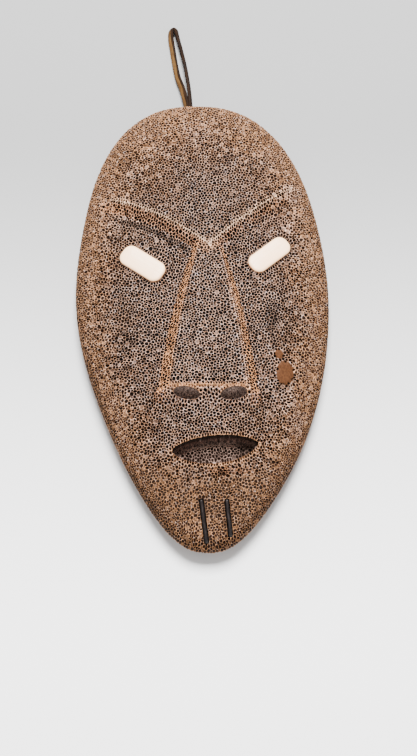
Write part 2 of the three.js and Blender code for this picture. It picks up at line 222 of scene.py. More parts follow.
section_across, section_through = thong_section()
thong = closed_piece("rawhide_loop", thong_rings(loop_route, section_across, section_through),
                     tube_faces(len(loop_route), SECTION_POINTS))
thong_box = np.array([v.co for v in thong.data.vertices])
print("thong from", thong_box.min(0).round(4), "to", thong_box.max(0).round(4))

# %% [markdown]
# ## The carver's form
#
# The bone's shape is kept as a few short rules, the same ones that the solid was built from: an oval
# plan, a dome over it, a brow that cuts in, a wedge for the nose. Rules rather than a sculpted mesh
# let the pores below be laid on the surface at any place, and let the surface be asked for its
# height there.

# %% Plan of the bone
HALF_LENGTH = 159.9 / 2
RIM_HEIGHT = 6.0
DOME_RISE = 15.0
DOME_POWER = 2.6
BACK_INSET = 3.0
SQUARENESS = 2.4
# How wide the oval is, in half widths, and where its middle line runs, at five even stations from
# chin to crown
FULLNESS = np.array([25.7, 36.8, 43.8, 43.8, 44.4])
MIDLINE = np.array([2.0, 2.3, 0.2, -0.8, -2.4])


def along_mask(values, q):
    """A smooth curve through the stations from chin (-1) to crown (+1)."""
    last = len(values) - 1
    place = np.clip((q + 1) / 2, 0, 1) * last
    i = np.minimum(place.astype(int), last - 1)
    ends = with_ends(values)
    return curve_between(ends[i], ends[i + 1], ends[i + 2], ends[i + 3], place - i)


def oval_size(across, along):
    """0 in the middle of an oval that is squarer than an ellipse, 1 on its edge."""
    return (np.abs(across) ** SQUARENESS + np.abs(along) ** SQUARENESS) ** (1 / SQUARENESS)


def on_plan(x, y):
    """A point's shares of the half width and of the half length."""
    q = y / HALF_LENGTH
    return (x - along_mask(MIDLINE, q)) / along_mask(FULLNESS, q), q


def share_out(x, y):
    """0 in the middle of the face, 1 on the rim."""
    return oval_size(*on_plan(x, y))


def heading(x, y):
    """The angle of a point on the plan, seen from the middle."""
    across, along = on_plan(x, y)
    return np.arctan2(along, across)


def point_at(share, angle):
    """The inverse of the two functions above."""
    size = share / oval_size(np.cos(angle), np.sin(angle))
    q = size * np.sin(angle)
    x = along_mask(MIDLINE, q) + size * np.cos(angle) * along_mask(FULLNESS, q)
    return np.stack([x, q * HALF_LENGTH], -1)


RIM_SAMPLES = 720
rim = point_at(np.ones(RIM_SAMPLES), np.linspace(0, 2 * np.pi, RIM_SAMPLES, endpoint=False))
rim_length = round(distances_along(rim)[-1])
print("rim", rim.min(0).round(1), "to", rim.max(0).round(1), "length", rim_length, "mm")

# %% Brow, eye hollows and nose
BRIDGE_X = 2.2
BRIDGE_Y = 23.8
BROW_LEFT = {"rise": 0.78, "bend": 0.0078, "reach": 34}
BROW_RIGHT = {"rise": 0.91, "bend": 0.0048, "reach": 29.5}
HOLLOW_DEPTH = 3.6
COVE_WIDTH = 6.5
HOLLOW_LENGTH = 62
HOLLOW_FADE = (0.66, 0.93)
VALLEY = {"depth": 1.0, "offset": 4.5, "width": 5, "top": 16, "top_fade": 10,
          "bottom": -30, "bottom_fade": 12}
NOSE_X = 2.0
NOSE_TOP = 25.0
NOSE_BASE = -26.5
NOSE_TOP_HEIGHT = 20.6
NOSE_RISE = 7.0
NOSE_TOP_HALF = 3.0
NOSE_BASE_HALF = 12.8
NOSE_BULGE = 1.2
NOSE_SIDE_SLOPE = 2.0
NOSE_UNDER_SLOPE = 1.43


def ease(value, low, high):
    """Smooth step from 0 at low to 1 at high."""
    t = np.clip((value - low) / (high - low), 0, 1)
    return t * t * (3 - 2 * t)


def dome_height(x, y):
    return RIM_HEIGHT + DOME_RISE * np.sqrt(1 - np.minimum(share_out(x, y), 1) ** DOME_POWER)


def brow_line(x):
    d = np.abs(x - BRIDGE_X)
    left = BROW_LEFT["rise"] * d - BROW_LEFT["bend"] * d * d
    right = BROW_RIGHT["rise"] * d - BROW_RIGHT["bend"] * d * d
    return BRIDGE_Y + np.where(x < BRIDGE_X, left, right)


def down_nose(y):
    """0 at the top of the nose, 1 at its base."""
    return (NOSE_TOP - y) / (NOSE_TOP - NOSE_BASE)


def nose_half_width(y):
    down = down_nose(y)
    return (NOSE_TOP_HALF + (NOSE_BASE_HALF - NOSE_TOP_HALF) * down
            + 4 * NOSE_BULGE * np.maximum(down * (1 - down), 0))


def past_nose(x, y):
    """How far sideways a point lies outside the nose's crest."""
    return np.abs(x - NOSE_X) - nose_half_width(y)


def hollow_depth(x, y):
    """The hollow under the brow, which is deepest beside the nose."""
    below = brow_line(x) - y
    cove = 1 - (1 - np.clip(below / COVE_WIDTH, 0, 1)) ** 2
    run_out = 1 - ease(below, COVE_WIDTH, HOLLOW_LENGTH)
    fade = 1 - ease(share_out(x, y), *HOLLOW_FADE)
    beside = (past_nose(x, y) - VALLEY["offset"]) / VALLEY["width"]
    along = (ease(y, VALLEY["bottom"], VALLEY["bottom"] + VALLEY["bottom_fade"])
             * (1 - ease(y, VALLEY["top"] - VALLEY["top_fade"], VALLEY["top"])))
    depth = (HOLLOW_DEPTH * cove * run_out + VALLEY["depth"] * np.exp(-beside ** 2) * along) * fade
    return np.where(below < 0, 0, depth)


def nose_height(x, y):
    side = NOSE_SIDE_SLOPE * past_nose(x, y)
    under = NOSE_UNDER_SLOPE * (NOSE_BASE - y)
    return NOSE_TOP_HEIGHT + NOSE_RISE * down_nose(y) - np.hypot(np.maximum(side, 0), np.maximum(under, 0))


def face_height(x, y):
    return np.maximum(dome_height(x, y) - hollow_depth(x, y), nose_height(x, y))


def slopes(height, x, y, step):
    """How fast a height changes along x and along y, taken over a step to each side."""
    return ((height(x + step, y) - height(x - step, y)) / (2 * step),
            (height(x, y + step) - height(x, y - step)) / (2 * step))


for name, x, y in [("brow", 2.2, 30.0), ("nose tip", 2.0, -26.5), ("cheek", 28.0, -20.0)]:
    print(name, "stands", face_height(x, y).round(1), "mm up")

# %% [markdown]
# ## What is cut into the form
#
# The mouth, the nostrils, the pockets for the eyes and the slots in the chin have steep walls. Each
# is described by how far a point lies outside its edge, in millimetres, so that inside is negative.
# A boolean cut would slice through thousands of pores and leave slivers. Here the same distance
# instead moves the net of pores: its points are drawn to the edge and then dropped to the floor.

# %% Edges of the recesses
MOUTH = {"x": 4.3, "y": -45.8, "half": 14.6, "upper": 3.8, "lower": 5.6, "round": 0.68, "tilt": 0.092,
         "floor": 12.4, "lip_slope": 0.9, "end_slope": 0.8}
# The mouth's floor still rises near its wall: distances in from the wall, and the rise there
DISH_RUN = [0, 0.5, 1.6]
DISH_RISE = [1.6, 0.8, 0.0]
NOSTRIL = {"x": 2.75, "offset": 7.75, "y": -28.8, "radii": (4.5, 1.8), "splay": 0.12,
           "deep": 3.4, "wall": 1.2}
GAP = 0.3
EYE_CORNER = 3.0
EYE_THICKNESS = 2.4
EYE_PROUD = 0.35
POCKET_ROOM = 0.6
LEFT_EYE = {"x": -20.5, "y": 17.9, "length": 16.9, "width": 7.7, "turn": -0.6}
RIGHT_EYE = {"x": 23.1, "y": 21.3, "length": 16.5, "width": 7.1, "turn": 0.69}
STRIP_THICKNESS = 1.35
STRIP_DEPTH = 2.0
STRIP_PROUD = 0.25
SLOT_CORNER = 0.2
LEFT_STRIP = {"start": (-0.3, -63.0), "end": (1.6, -77.0)}
RIGHT_STRIP = {"start": (8.1, -63.0), "end": (9.5, -74.8)}


def turned(x, y, centre_x, centre_y, turn):
    """Coordinates along and across something that is turned on the plan."""
    dx, dy = x - centre_x, y - centre_y
    return dx * math.cos(turn) + dy * math.sin(turn), dy * math.cos(turn) - dx * math.sin(turn)


def in_mouth_axes(x, y):
    """Coordinates along and across the mouth, and how open it is there, from 0 to 1."""
    u, v = turned(x, y, MOUTH["x"], MOUTH["y"], MOUTH["tilt"])
    return u, v, np.maximum(1 - (u / MOUTH["half"]) ** 2, 0) ** MOUTH["round"]


def mouth_distance(x, y):
    u, v, open_share = in_mouth_axes(x, y)
    above = v - MOUTH["upper"] * open_share
    below = -v - MOUTH["lower"] * open_share
    beyond = (np.abs(u) - MOUTH["half"]) * MOUTH["end_slope"]
    return np.maximum(np.maximum(above, below) * MOUTH["lip_slope"], beyond)


def nostril_distance(side):
    def distance(x, y):
        u, v = turned(x, y, NOSTRIL["x"] + side * NOSTRIL["offset"], NOSTRIL["y"], side * NOSTRIL["splay"])
        a, b = NOSTRIL["radii"]
        size = np.sqrt((u / a) ** 2 + (v / b) ** 2)
        slope = np.sqrt((u / a ** 2) ** 2 + (v / b ** 2) ** 2) / np.maximum(size, 1e-6)
        return (size - 1) / np.maximum(slope, 1 / a)
    return distance


def bar_distance(centre, turn, half_length, half_width, corner):
    """Distance outside a bar with round corners that is turned on the plan."""
    def distance(x, y):
        u, v = turned(x, y, *centre, turn)
        out_u = np.abs(u) - (half_length - corner)
        out_v = np.abs(v) - (half_width - corner)
        outside = np.hypot(np.maximum(out_u, 0), np.maximum(out_v, 0))
        return outside + np.minimum(np.maximum(out_u, out_v), 0) - corner
    return distance


mouth_room = -mouth_distance(MOUTH["x"], MOUTH["y"])
print("middle of the mouth lies", mouth_room.round(1), "mm inside its edge")

# %% List of the recesses
def nostril_floor(x, y, inside):
    return face_height(x, y) - NOSTRIL["deep"] * np.clip(inside / NOSTRIL["wall"], 0, 1) ** 0.5


def mouth_floor(x, y, inside):
    return MOUTH["floor"] + np.interp(inside, DISH_RUN, DISH_RISE)


def sunk(depth):
    """A floor that lies a depth below the face."""
    return lambda x, y, inside: face_height(x, y) - depth


def nostril(name, side):
    centre = (NOSTRIL["x"] + side * NOSTRIL["offset"], NOSTRIL["y"])
    return {"name": name, "centre": centre, "distance": nostril_distance(side), "floor": nostril_floor}


def pocket(name, eye):
    centre = (eye["x"], eye["y"])
    half_length, half_width = eye["length"] / 2 + GAP, eye["width"] / 2 + GAP
    distance = bar_distance(centre, eye["turn"], half_length, half_width, EYE_CORNER + GAP)
    floor = sunk(EYE_THICKNESS + GAP + POCKET_ROOM)
    return {"name": name, "centre": centre, "distance": distance, "floor": floor}


def slot(name, strip):
    (x0, y0), (x1, y1) = strip["start"], strip["end"]
    centre = ((x0 + x1) / 2, (y0 + y1) / 2)
    half_length = math.hypot(x1 - x0, y1 - y0) / 2 + GAP
    turn = math.atan2(y1 - y0, x1 - x0)
    distance = bar_distance(centre, turn, half_length, STRIP_THICKNESS / 2 + GAP, SLOT_CORNER)
    return {"name": name, "centre": centre, "distance": distance, "floor": sunk(STRIP_DEPTH + GAP)}


CARVED = [
    {"name": "mouth", "centre": (MOUTH["x"], MOUTH["y"]), "distance": mouth_distance, "floor": mouth_floor},
    nostril("left nostril", -1),
    nostril("right nostril", 1),
]
POCKETS = [pocket("left eye", LEFT_EYE), pocket("right eye", RIGHT_EYE)]
SLOTS = [slot("left strip", LEFT_STRIP), slot("right strip", RIGHT_STRIP)]
RECESSES = CARVED + POCKETS + SLOTS
print(len(RECESSES), "recesses")

# %% [markdown]
# ## The net of pores
#
# Whalebone is full of fine canals, about one each millimetre, and the carver's knife has cut them
# all across, so that the face is a net of thin walls round small dark holes. Texture alone would
# look painted on from the side. Each pore is made as a real pit: about fifteen thousand of them.
#
# Their middles are laid out first, on a flat sheet. Points are thrown down at random, and each is kept
# if no other lies too near, so that no rows show. Along each edge of the carving the points stand in
# pairs, one on each side, and the wall between two pairs then follows the edge.

# %% Edges of the carving
RAYS = 1441
HALVINGS = 24
LONGEST_RAY = 20.0
CREST_POINTS = 200


def recess_outline(recess):
    """The closed edge of a recess, found along rays from its middle."""
    centre = np.array(recess["centre"])
    angle = np.linspace(0, 2 * np.pi, RAYS)
    ray = np.stack([np.cos(angle), np.sin(angle)], -1)
    near, far = np.zeros(RAYS), np.full(RAYS, LONGEST_RAY)
    for _ in range(HALVINGS):
        half = (near + far) / 2
        inside = recess["distance"](*(centre + ray * half[:, None]).T) < 0
        near, far = np.where(inside, half, near), np.where(inside, far, half)
    return centre + ray * near[:, None]


for recess in RECESSES:
    recess["outline"] = recess_outline(recess)

left_x = np.linspace(BRIDGE_X, BRIDGE_X - BROW_LEFT["reach"], CREST_POINTS)
right_x = np.linspace(BRIDGE_X, BRIDGE_X + BROW_RIGHT["reach"], CREST_POINTS)
nose_y = np.linspace(NOSE_TOP, NOSE_BASE, CREST_POINTS)
base_x = NOSE_X + nose_half_width(NOSE_BASE) * np.linspace(-1, 1, CREST_POINTS // 2)
BROW_CRESTS = [np.stack([side_x, brow_line(side_x)], -1) for side_x in (left_x, right_x)]
NOSE_CRESTS = [
    np.stack([NOSE_X - nose_half_width(nose_y), nose_y], -1),
    np.stack([NOSE_X + nose_half_width(nose_y), nose_y], -1),
    np.stack([base_x, np.full(len(base_x), NOSE_BASE)], -1),
]
print(len(RECESSES) + len(BROW_CRESTS) + len(NOSE_CRESTS), "edges")

# %% Points along the edges of the carving
PITCH = 0.92
PAIR_SPACING = 0.96
PAIR_SHAKE = 0.1
PAIR_CLEARANCE = 0.6
DIRECTION_STEP = 0.1
rng = np.random.default_rng(11)


def evenly(curve, spacing):
    """Points at an even spacing on a curve, and the direction across it."""
    along = distances_along(curve)
    count = max(int(round(along[-1] / spacing)), 1)
    at = (np.arange(count) + 0.5) * along[-1] / count

    def on_curve(distance):
        return np.stack([np.interp(distance, along, curve[:, axis]) for axis in (0, 1)], -1)
    direction = unit_rows(on_curve(at + DIRECTION_STEP) - on_curve(at - DIRECTION_STEP))
    return on_curve(at), np.stack([-direction[:, 1], direction[:, 0]], -1)


def thinned(candidates, clearance):
    """Keeps points that stand clear of those kept before them."""
    kept, cells = [], {}
    for x, y in candidates:
        i, j = int(x // clearance), int(y // clearance)
        near = [p for a in (-1, 0, 1) for b in (-1, 0, 1) for p in cells.get((i + a, j + b), ())]
        if all(math.hypot(x - u, y - v) > clearance for u, v in near):
            cells.setdefault((i, j), []).append((x, y))
            kept.append((x, y))
    return np.array(kept)


pairs = []
for curve in [recess["outline"] for recess in RECESSES] + BROW_CRESTS + NOSE_CRESTS:
    points, across = evenly(curve, PITCH * PAIR_SPACING)
    shake = rng.uniform(-PAIR_SHAKE, PAIR_SHAKE, (len(points), 1)) * across[:, ::-1] * (1, -1)
    pairs.extend([points + across * PITCH / 2 + shake, points - across * PITCH / 2 + shake])
edge_points = thinned(np.vstack(pairs), PAIR_CLEARANCE * PITCH)
print(len(edge_points), "points along the edges")

# %% Points of the face, the side and the back
THROWS_PER_CELL = 12
PLAN_HALF_WIDTH = 50.0
PLAN_HALF_LENGTH = HALF_LENGTH * 1.05
BACK_PITCH = 2.2
# Least distances in pitches: among points, to the rim's row, of the band and the lattice to the
# edges, and of the back to the ring
CLEARANCE = 0.79
ROW_CLEARANCE = 0.7
BAND_CLEARANCE = 0.74
LATTICE_CLEARANCE = 0.76
RING_CLEARANCE = 0.8
# Near the rim the cells are narrow and long, and the band of them has a ragged inner end
RIM_ROW = 0.45
ROW_SHAKE = 0.1
LONG_BAND = 11.0
CELL_NARROWING = 0.68
CELL_LENGTHENING = 1.35
SLOW_FRAY = {"size": 1.5, "waves": 0.11}
QUICK_FRAY = {"size": 1.0, "waves": 0.37}
SIDE_BAND = (-1.6, -0.3)
SIDE_NARROWING = 0.82
SIDE_END = 2.3
RING_SPACING = 1.5
RIM_ANGLES = np.linspace(0, 2 * np.pi, 4001)


def reach(angle):
    """Distance from the middle of the plan to the rim."""
    return np.linalg.norm(point_at(np.ones_like(angle), angle), axis=-1)


def beyond_rim(x, y):
    """Distance outside the rim on the flat sheet, negative inside."""
    return (share_out(x, y) - 1) * reach(heading(x, y))


def rim_row(offset, spacing, stagger, shake):
    """A row of points at an even spacing along the rim, some way outside it."""
    along = distances_along(point_at(1 + offset / reach(RIM_ANGLES), RIM_ANGLES))
    count = int(round(along[-1] / spacing))
    at = (np.arange(count) + stagger + rng.uniform(-shake, shake, count)) / count * along[-1]
    at_angle = np.interp(at % along[-1], along, RIM_ANGLES)
    at_offset = offset + rng.uniform(-shake, shake, count) * spacing
    return point_at(1 + at_offset / reach(at_angle), at_angle)


def scattered(pitch, outer):
    """Random points over the plan that keep clear of each other, up to a distance from the rim."""
    throws = int(THROWS_PER_CELL * 4 * HALF_LENGTH * PLAN_HALF_WIDTH / pitch ** 2)
    spots = rng.uniform(-1, 1, (throws, 2)) * (PLAN_HALF_WIDTH, PLAN_HALF_LENGTH)
    spots = spots[beyond_rim(*spots.T) < outer]
    return thinned(spots, CLEARANCE * pitch)


def fray(u):
    """How far the band's inner end draws back at a distance along the rim."""
    slow = SLOW_FRAY["size"] * np.sin(u * SLOW_FRAY["waves"])
    quick = QUICK_FRAY["size"] * np.sin(u * QUICK_FRAY["waves"] + 1)
    return SLOW_FRAY["size"] + QUICK_FRAY["size"] - slow - quick


def band_cells(low, high, narrowing, lengthening, frayed):
    """Random points of a band along the rim, between two distances inside it, with narrow cells."""
    along = distances_along(point_at(np.ones(len(RIM_ANGLES)), RIM_ANGLES))
    throws = int(THROWS_PER_CELL * along[-1] * (high - low) / PITCH ** 2)
    u = rng.uniform(0, along[-1], throws)
    v = rng.uniform(low, high, throws)
    spots = np.column_stack([u / narrowing, v / lengthening])[v < high - frayed * fray(u)]
    kept = thinned(spots, CLEARANCE * PITCH)
    at_angle = np.interp(kept[:, 0] * narrowing, along, RIM_ANGLES)
    return point_at(1 - kept[:, 1] * lengthening / reach(at_angle), at_angle)


def gap_to(points, others):
    """How far each point lies from the nearest of the others."""
    tree = kdtree.KDTree(len(others))
    for index, (x, y) in enumerate(others):
        tree.insert((x, y, 0), index)
    tree.balance()
    return np.array([tree.find((x, y, 0))[2] for x, y in points])


band = band_cells(RIM_ROW + ROW_CLEARANCE * PITCH, LONG_BAND, CELL_NARROWING, CELL_LENGTHENING, 1)
band = band[gap_to(band, edge_points) > BAND_CLEARANCE * PITCH]
side = band_cells(*SIDE_BAND, SIDE_NARROWING, 1, 0)
lattice = scattered(PITCH, -RIM_ROW - ROW_CLEARANCE * PITCH)
lattice = lattice[gap_to(lattice, np.vstack([edge_points, band])) > LATTICE_CLEARANCE * PITCH]
row = rim_row(-RIM_ROW, PITCH, 0.5, ROW_SHAKE)
ring = rim_row(SIDE_END, RING_SPACING, 0, 0)
front_points = np.vstack([lattice, band, edge_points, row, side])
back_points = scattered(BACK_PITCH, SIDE_END - RING_CLEARANCE * BACK_PITCH)
print(len(front_points), "front,", len(ring), "ring and", len(back_points), "back points")

# %% [markdown]
# ## The sheet
#
# Delaunay triangles join the points, and Geometry Nodes turns that net inside out: its Dual Mesh node
# makes one many-sided cell round each point, which is just how pores share their walls. Front and
# back are one closed pillow, sewn together at a ring of points that will be the bottom edge.

# %% Flat pillow of triangles
def triangles_between(points, ring_points):
    """Delaunay triangles inside a ring, as indices into the points and then the ring."""
    both = [Vector(p) for p in np.vstack([points, ring_points])]
    first, count = len(points), len(ring_points)
    ring_edges = [(first + k, first + (k + 1) % count) for k in range(count)]
    _, _, faces, origins, _, _ = geometry.delaunay_2d_cdt(both, ring_edges, [], 1, 1e-6)
    back = [o[0] if o else -1 for o in origins]
    return [tuple(back[i] for i in face) for face in faces]


def back_index(i):
    """The pillow's index of a point that the back's triangles name."""
    back_start = len(front_points) + len(ring)
    return back_start + i if i < len(back_points) else len(front_points) + i - len(back_points)


front_faces = triangles_between(front_points, ring)
back_faces = triangles_between(back_points, ring)
pillow_faces = front_faces + [tuple(back_index(i) for i in face[::-1]) for face in back_faces]
pillow_points = np.vstack([front_points, ring, back_points])
pillow_z = np.repeat([1.0, 0.0, -1.0], [len(front_points), len(ring), len(back_points)])
pillow = mesh_piece("whalebone", np.column_stack([pillow_points, pillow_z]), pillow_faces)
print(len(pillow_faces), "triangles in the pillow")

# %% Which cells are drilled, and how wide
FINE_SHARE = 0.80
FINE_MIXING = 0.07
MOUTH_SHARE = 0.89
# Middle, half width, half height and strength of each oval place
DENSE_SPOTS = [(27.8, -20.7, 3.0, 4.2, 1.0), (25.8, -14.4, 1.5, 1.7, 1.0)]
SPOT_FADE = (0.75, 1.15)
SOLID_SPOT = 0.6
UPPER_WALL = 1.2
LOWER_WALL = 1.0
CHIN_SHIFT = 0.14
CHIN_START = (-46, -60)


def patches(places, fade, x, y):
    """Highest in the middle of the oval places, each fading out over a range of its own size."""
    value = np.zeros_like(x)
    for place_x, place_y, half_x, half_y, strength in places:
        size = np.hypot((x - place_x) / half_x, (y - place_y) / half_y)
        value = np.maximum(value, strength * (1 - ease(size, *fade)))
    return value


def rimward_share(share, y):
    """The share out, moved towards the rim's on the chin, whose bone is as fine and tan as the rim."""
    return share + CHIN_SHIFT * ease(y, *CHIN_START)


x, y = pillow_points.T
on_front = pillow_z > 0
plain = patches(DENSE_SPOTS, SPOT_FADE, x, y) > SOLID_SPOT
for recess in POCKETS:
    plain |= recess["distance"](x, y) < 0
into_mouth = -mouth_distance(x, y)
wall_width = np.where(in_mouth_axes(x, y)[1] > 0, UPPER_WALL, LOWER_WALL)
mouth_wall = (into_mouth > 0) & (into_mouth < wall_width)
drilled = (pillow_z != 0) & ~(on_front & (plain | mouth_wall))
mixed_share = rimward_share(share_out(x, y), y) + rng.normal(0, FINE_MIXING, len(x))
store(pillow, "drilled", drilled)
store(pillow, "mouth", np.where(on_front & (mixed_share < FINE_SHARE), MOUTH_SHARE, 0.0))
print(int(drilled.sum()), "cells to drill")

# %% [markdown]
# ## Drilling the pores
#
# One node tree drills every cell. It insets the cell to the pore's mouth, then draws a second copy to
# a single point, the bottom of the pit. Cells near the rim skip the first step, so that their thin
# walls come to an edge, as where canals are cut lengthwise. The tree works on the flat sheet and only
# marks how deep each point is, because the depth is given later, when the sheet goes onto the form.

# %% Calls that build node trees
class Nodes:
    """A node tree, with the calls that build it."""

    def __init__(self, tree):
        self.tree = tree

    def set_inputs(self, node, inputs):
        """Links a socket to each named input, or sets its value."""
        for key, value in inputs.items():
            if isinstance(value, bpy.types.NodeSocket):
                self.tree.links.new(value, node.inputs[key])
            else:
                node.inputs[key].default_value = value

    def put(self, kind, inputs, **settings):
        """Adds a node with its settings and inputs, and returns its outputs."""
        node = self.tree.nodes.new(kind)
        for key, value in settings.items():
            setattr(node, key, value)
        self.set_inputs(node, inputs)
        return node.outputs

    def maths(self, operation, first, second, **settings):
        return self.put("ShaderNodeMath", {0: first, 1: second}, operation=operation, **settings)[0]

    def times(self, first, second):
        return self.maths("MULTIPLY", first, second)

    def plus(self, first, second):
        return self.maths("ADD", first, second)

    def larger(self, first, second):
        return self.maths("MAXIMUM", first, second)

    def step(self, value, low, high, new_low=0.0, new_high=1.0):
        """A smooth step between two values, with new ends."""
        ends = {"From Min": low, "From Max": high, "To Min": new_low, "To Max": new_high}
        kind = "ShaderNodeMapRange"
        return self.put(kind, {"Value": value, **ends}, interpolation_type="SMOOTHSTEP")["Result"]


def new_tree(name, inputs, outputs, kind="GeometryNodeTree"):
    """A node group with its sockets: its calls, its given values and its result."""
    tree = bpy.data.node_groups.new(name, kind)
    for label, socket, value in inputs:
        made = tree.interface.new_socket(name=label, in_out="INPUT", socket_type=socket)
        if value is not None:
            made.default_value = value
    for label, socket in outputs:
        tree.interface.new_socket(name=label, in_out="OUTPUT", socket_type=socket)
    return Nodes(tree), tree.nodes.new("NodeGroupInput").outputs, tree.nodes.new("NodeGroupOutput")


print("calls:", [name for name in vars(Nodes) if not name.startswith("_")])

# %% Node tree for the pores
PORE_SEED = 5
MERGE_DISTANCE = 0.0001


def build_pore_tree():
    nodes, given, result = new_tree("pores", [
        ("Sheet", "NodeSocketGeometry", None),
        ("Mouth variation", "NodeSocketFloat", 0.07),
        ("Mouth depth", "NodeSocketFloat", 0.12),
        ("Fine depth", "NodeSocketFloat", 0.55),
        ("Depth variation", "NodeSocketFloat", 0.25),
        ("Seed", "NodeSocketInt", 1),
        ("Material", "NodeSocketMaterial", None),
    ], [("Geometry", "NodeSocketGeometry")])

    def attribute(name):
        inputs = {"Name": name}
        return nodes.put("GeometryNodeInputNamedAttribute", inputs, data_type="FLOAT")["Attribute"]

    def spread(variation, seed_offset):
        """A random factor around 1, one for each face."""
        low, high = nodes.maths("SUBTRACT", 1.0, variation), nodes.plus(1.0, variation)
        inputs = {2: low, 3: high, "Seed": nodes.plus(given["Seed"], seed_offset)}
        return nodes.put("FunctionNodeRandomValue", inputs, data_type="FLOAT")[1]

    def keep(geometry_socket, name, domain, value, selection=True):
        """Stores a value with the selected points or faces."""
        inputs = {"Geometry": geometry_socket, "Name": name, "Value": value, "Selection": selection}
        kind = "GeometryNodeStoreNamedAttribute"
        return nodes.put(kind, inputs, data_type="FLOAT", domain=domain)["Geometry"]

    def inset(mesh_socket, selection, scale):
        """A copy of each selected face inside itself, at a scale."""
        inputs = {"Mesh": mesh_socket, "Selection": selection, "Offset Scale": 0, "Individual": True}
        copied = nodes.put("GeometryNodeExtrudeMesh", inputs, mode="FACES")
        inputs = {"Geometry": copied["Mesh"], "Selection": copied["Top"], "Scale": scale}
        shrunk = nodes.put("GeometryNodeScaleElements", inputs, domain="FACE")
        return shrunk["Geometry"], copied["Top"], copied["Side"]

    dual = nodes.put("GeometryNodeDualMesh", {"Mesh": given["Sheet"]})["Dual Mesh"]
    cells = keep(keep(dual, "lot", "FACE", spread(1.0, 2)), "pit", "POINT", 0.0)
    mouth_size = nodes.times(attribute("mouth"), spread(given["Mouth variation"], 0))
    has_mouth = nodes.times(nodes.maths("GREATER_THAN", attribute("mouth"), 0.01), attribute("drilled"))
    mouths, mouth_top, mouth_side = inset(cells, has_mouth, mouth_size)
    mouths = keep(mouths, "pit", "POINT", given["Mouth depth"], mouth_top)
    cell_bottom = nodes.times(nodes.maths("SUBTRACT", 1, mouth_side), attribute("drilled"))
    bottoms, bottom_top, _ = inset(mouths, cell_bottom, 0.0)
    fine_depth = nodes.larger(given["Fine depth"], has_mouth)
    depth = nodes.times(spread(given["Depth variation"], 1), fine_depth)
    bottoms = keep(bottoms, "pit", "POINT", depth, bottom_top)
    inputs = {"Geometry": bottoms, "Distance": MERGE_DISTANCE}
    merged = nodes.put("GeometryNodeMergeByDistance", inputs)["Geometry"]
    real = nodes.put("GeometryNodeRealizeInstances", {"Geometry": merged})["Geometry"]
    inputs = {"Geometry": real, "Material": given["Material"]}
    nodes.set_inputs(result, {"Geometry": nodes.put("GeometryNodeSetMaterial", inputs)["Geometry"]})
    return nodes.tree


def run_nodes(piece, tree, settings):
    """Runs a tree on a piece with its inputs set, and leaves a plain mesh."""
    modifier = piece.modifiers.new(tree.name, "NODES")
    modifier.node_group = tree
    for item in tree.interface.items_tree:
        if item.item_type == "SOCKET" and item.in_out == "INPUT" and item.name in settings:
            modifier[item.identifier] = settings[item.name]
    evaluated = piece.evaluated_get(bpy.context.evaluated_depsgraph_get())
    mesh = bpy.data.meshes.new_from_object(evaluated)
    piece.modifiers.remove(modifier)
    old = piece.data
    piece.data = mesh
    bpy.data.meshes.remove(old)
    mesh.name = piece.name


bone_material = bpy.data.materials.new("whalebone")
bone_material.use_nodes = True
run_nodes(pillow, build_pore_tree(), {"Seed": PORE_SEED, "Material": bone_material})
triangles = sum(len(face.vertices) - 2 for face in pillow.data.polygons)
print(len(pillow.data.polygons), "faces,", triangles, "triangles")

# %% [markdown]
# ## Onto the form
#
# Now the flat sheet is laid on the carver's form. A lattice deformer could do it roughly. Here each
# point asks the rules above for its height. Canals run straight through the slice, so pits go straight
# down, also on the sloping sides of the nose, where they come out long and streaky. Only at the rim do
# they turn inwards, because there the canals were cut lengthwise.

# %% Drawing points to the edges of the recesses
EDGE_BAND = 0.2
WALL_LEAN = 0.12
WALL_FOOT = 0.7
PULL_INSIDE = 1.9
PULL_OUTSIDE = 0.6
LEAST_SLOPE = 0.3
DROP_RUN = 0.5
EDGE_STEP = 0.05


def drawn_to_edge(x, y, recess):
    """Moves points near an edge onto it, and says how far each has dropped to the floor."""
    distance = recess["distance"](x, y)
    slope_x, slope_y = slopes(recess["distance"], x, y, EDGE_STEP)
    size = np.maximum(np.hypot(slope_x, slope_y), LEAST_SLOPE)
    target = np.interp(distance, [-PULL_INSIDE, -WALL_FOOT, -EDGE_BAND, EDGE_BAND, PULL_OUTSIDE],
                       [-PULL_INSIDE, -WALL_LEAN, 0.0, 0.0, PULL_OUTSIDE])
    near = (distance > -PULL_INSIDE) & (distance < PULL_OUTSIDE)
    move = np.where(near, target - distance, 0)
    drop = np.clip((-distance - EDGE_BAND) / DROP_RUN, 0, 1)
    return x + move * slope_x / size, y + move * slope_y / size, drop, np.maximum(-distance, 0)


print("walls lean in by", WALL_LEAN, "mm")

# %% Reading the sheet
RIM_TURN = 0.002


def numbers(items, key, size, kind=float):
    """One value or vector an item, as rows."""
    values = np.zeros(len(items) * size, kind)
    items.foreach_get(key, values)
    return values.reshape(-1, size) if size > 1 else values


mesh = pillow.data
sheet = numbers(mesh.vertices, "co", 3)
pit = numbers(mesh.attributes["pit"].data, "value", 1)
share = share_out(*sheet.T[:2])
angle = heading(*sheet.T[:2])
on_rim = np.ones(len(sheet))
rim_point = point_at(on_rim, angle)
rim_ahead = unit_rows(point_at(on_rim, angle + RIM_TURN) - point_at(on_rim, angle - RIM_TURN))
outward = np.stack([rim_ahead[:, 1], -rim_ahead[:, 0]], -1)
rim_reach = np.linalg.norm(rim_point, axis=1)
beyond = (share - 1) * rim_reach
is_back = sheet[:, 2] < 0
is_side = ~is_back & (beyond > 0)
print(len(sheet), "points,", int(is_side.sum()), "of them on the side")

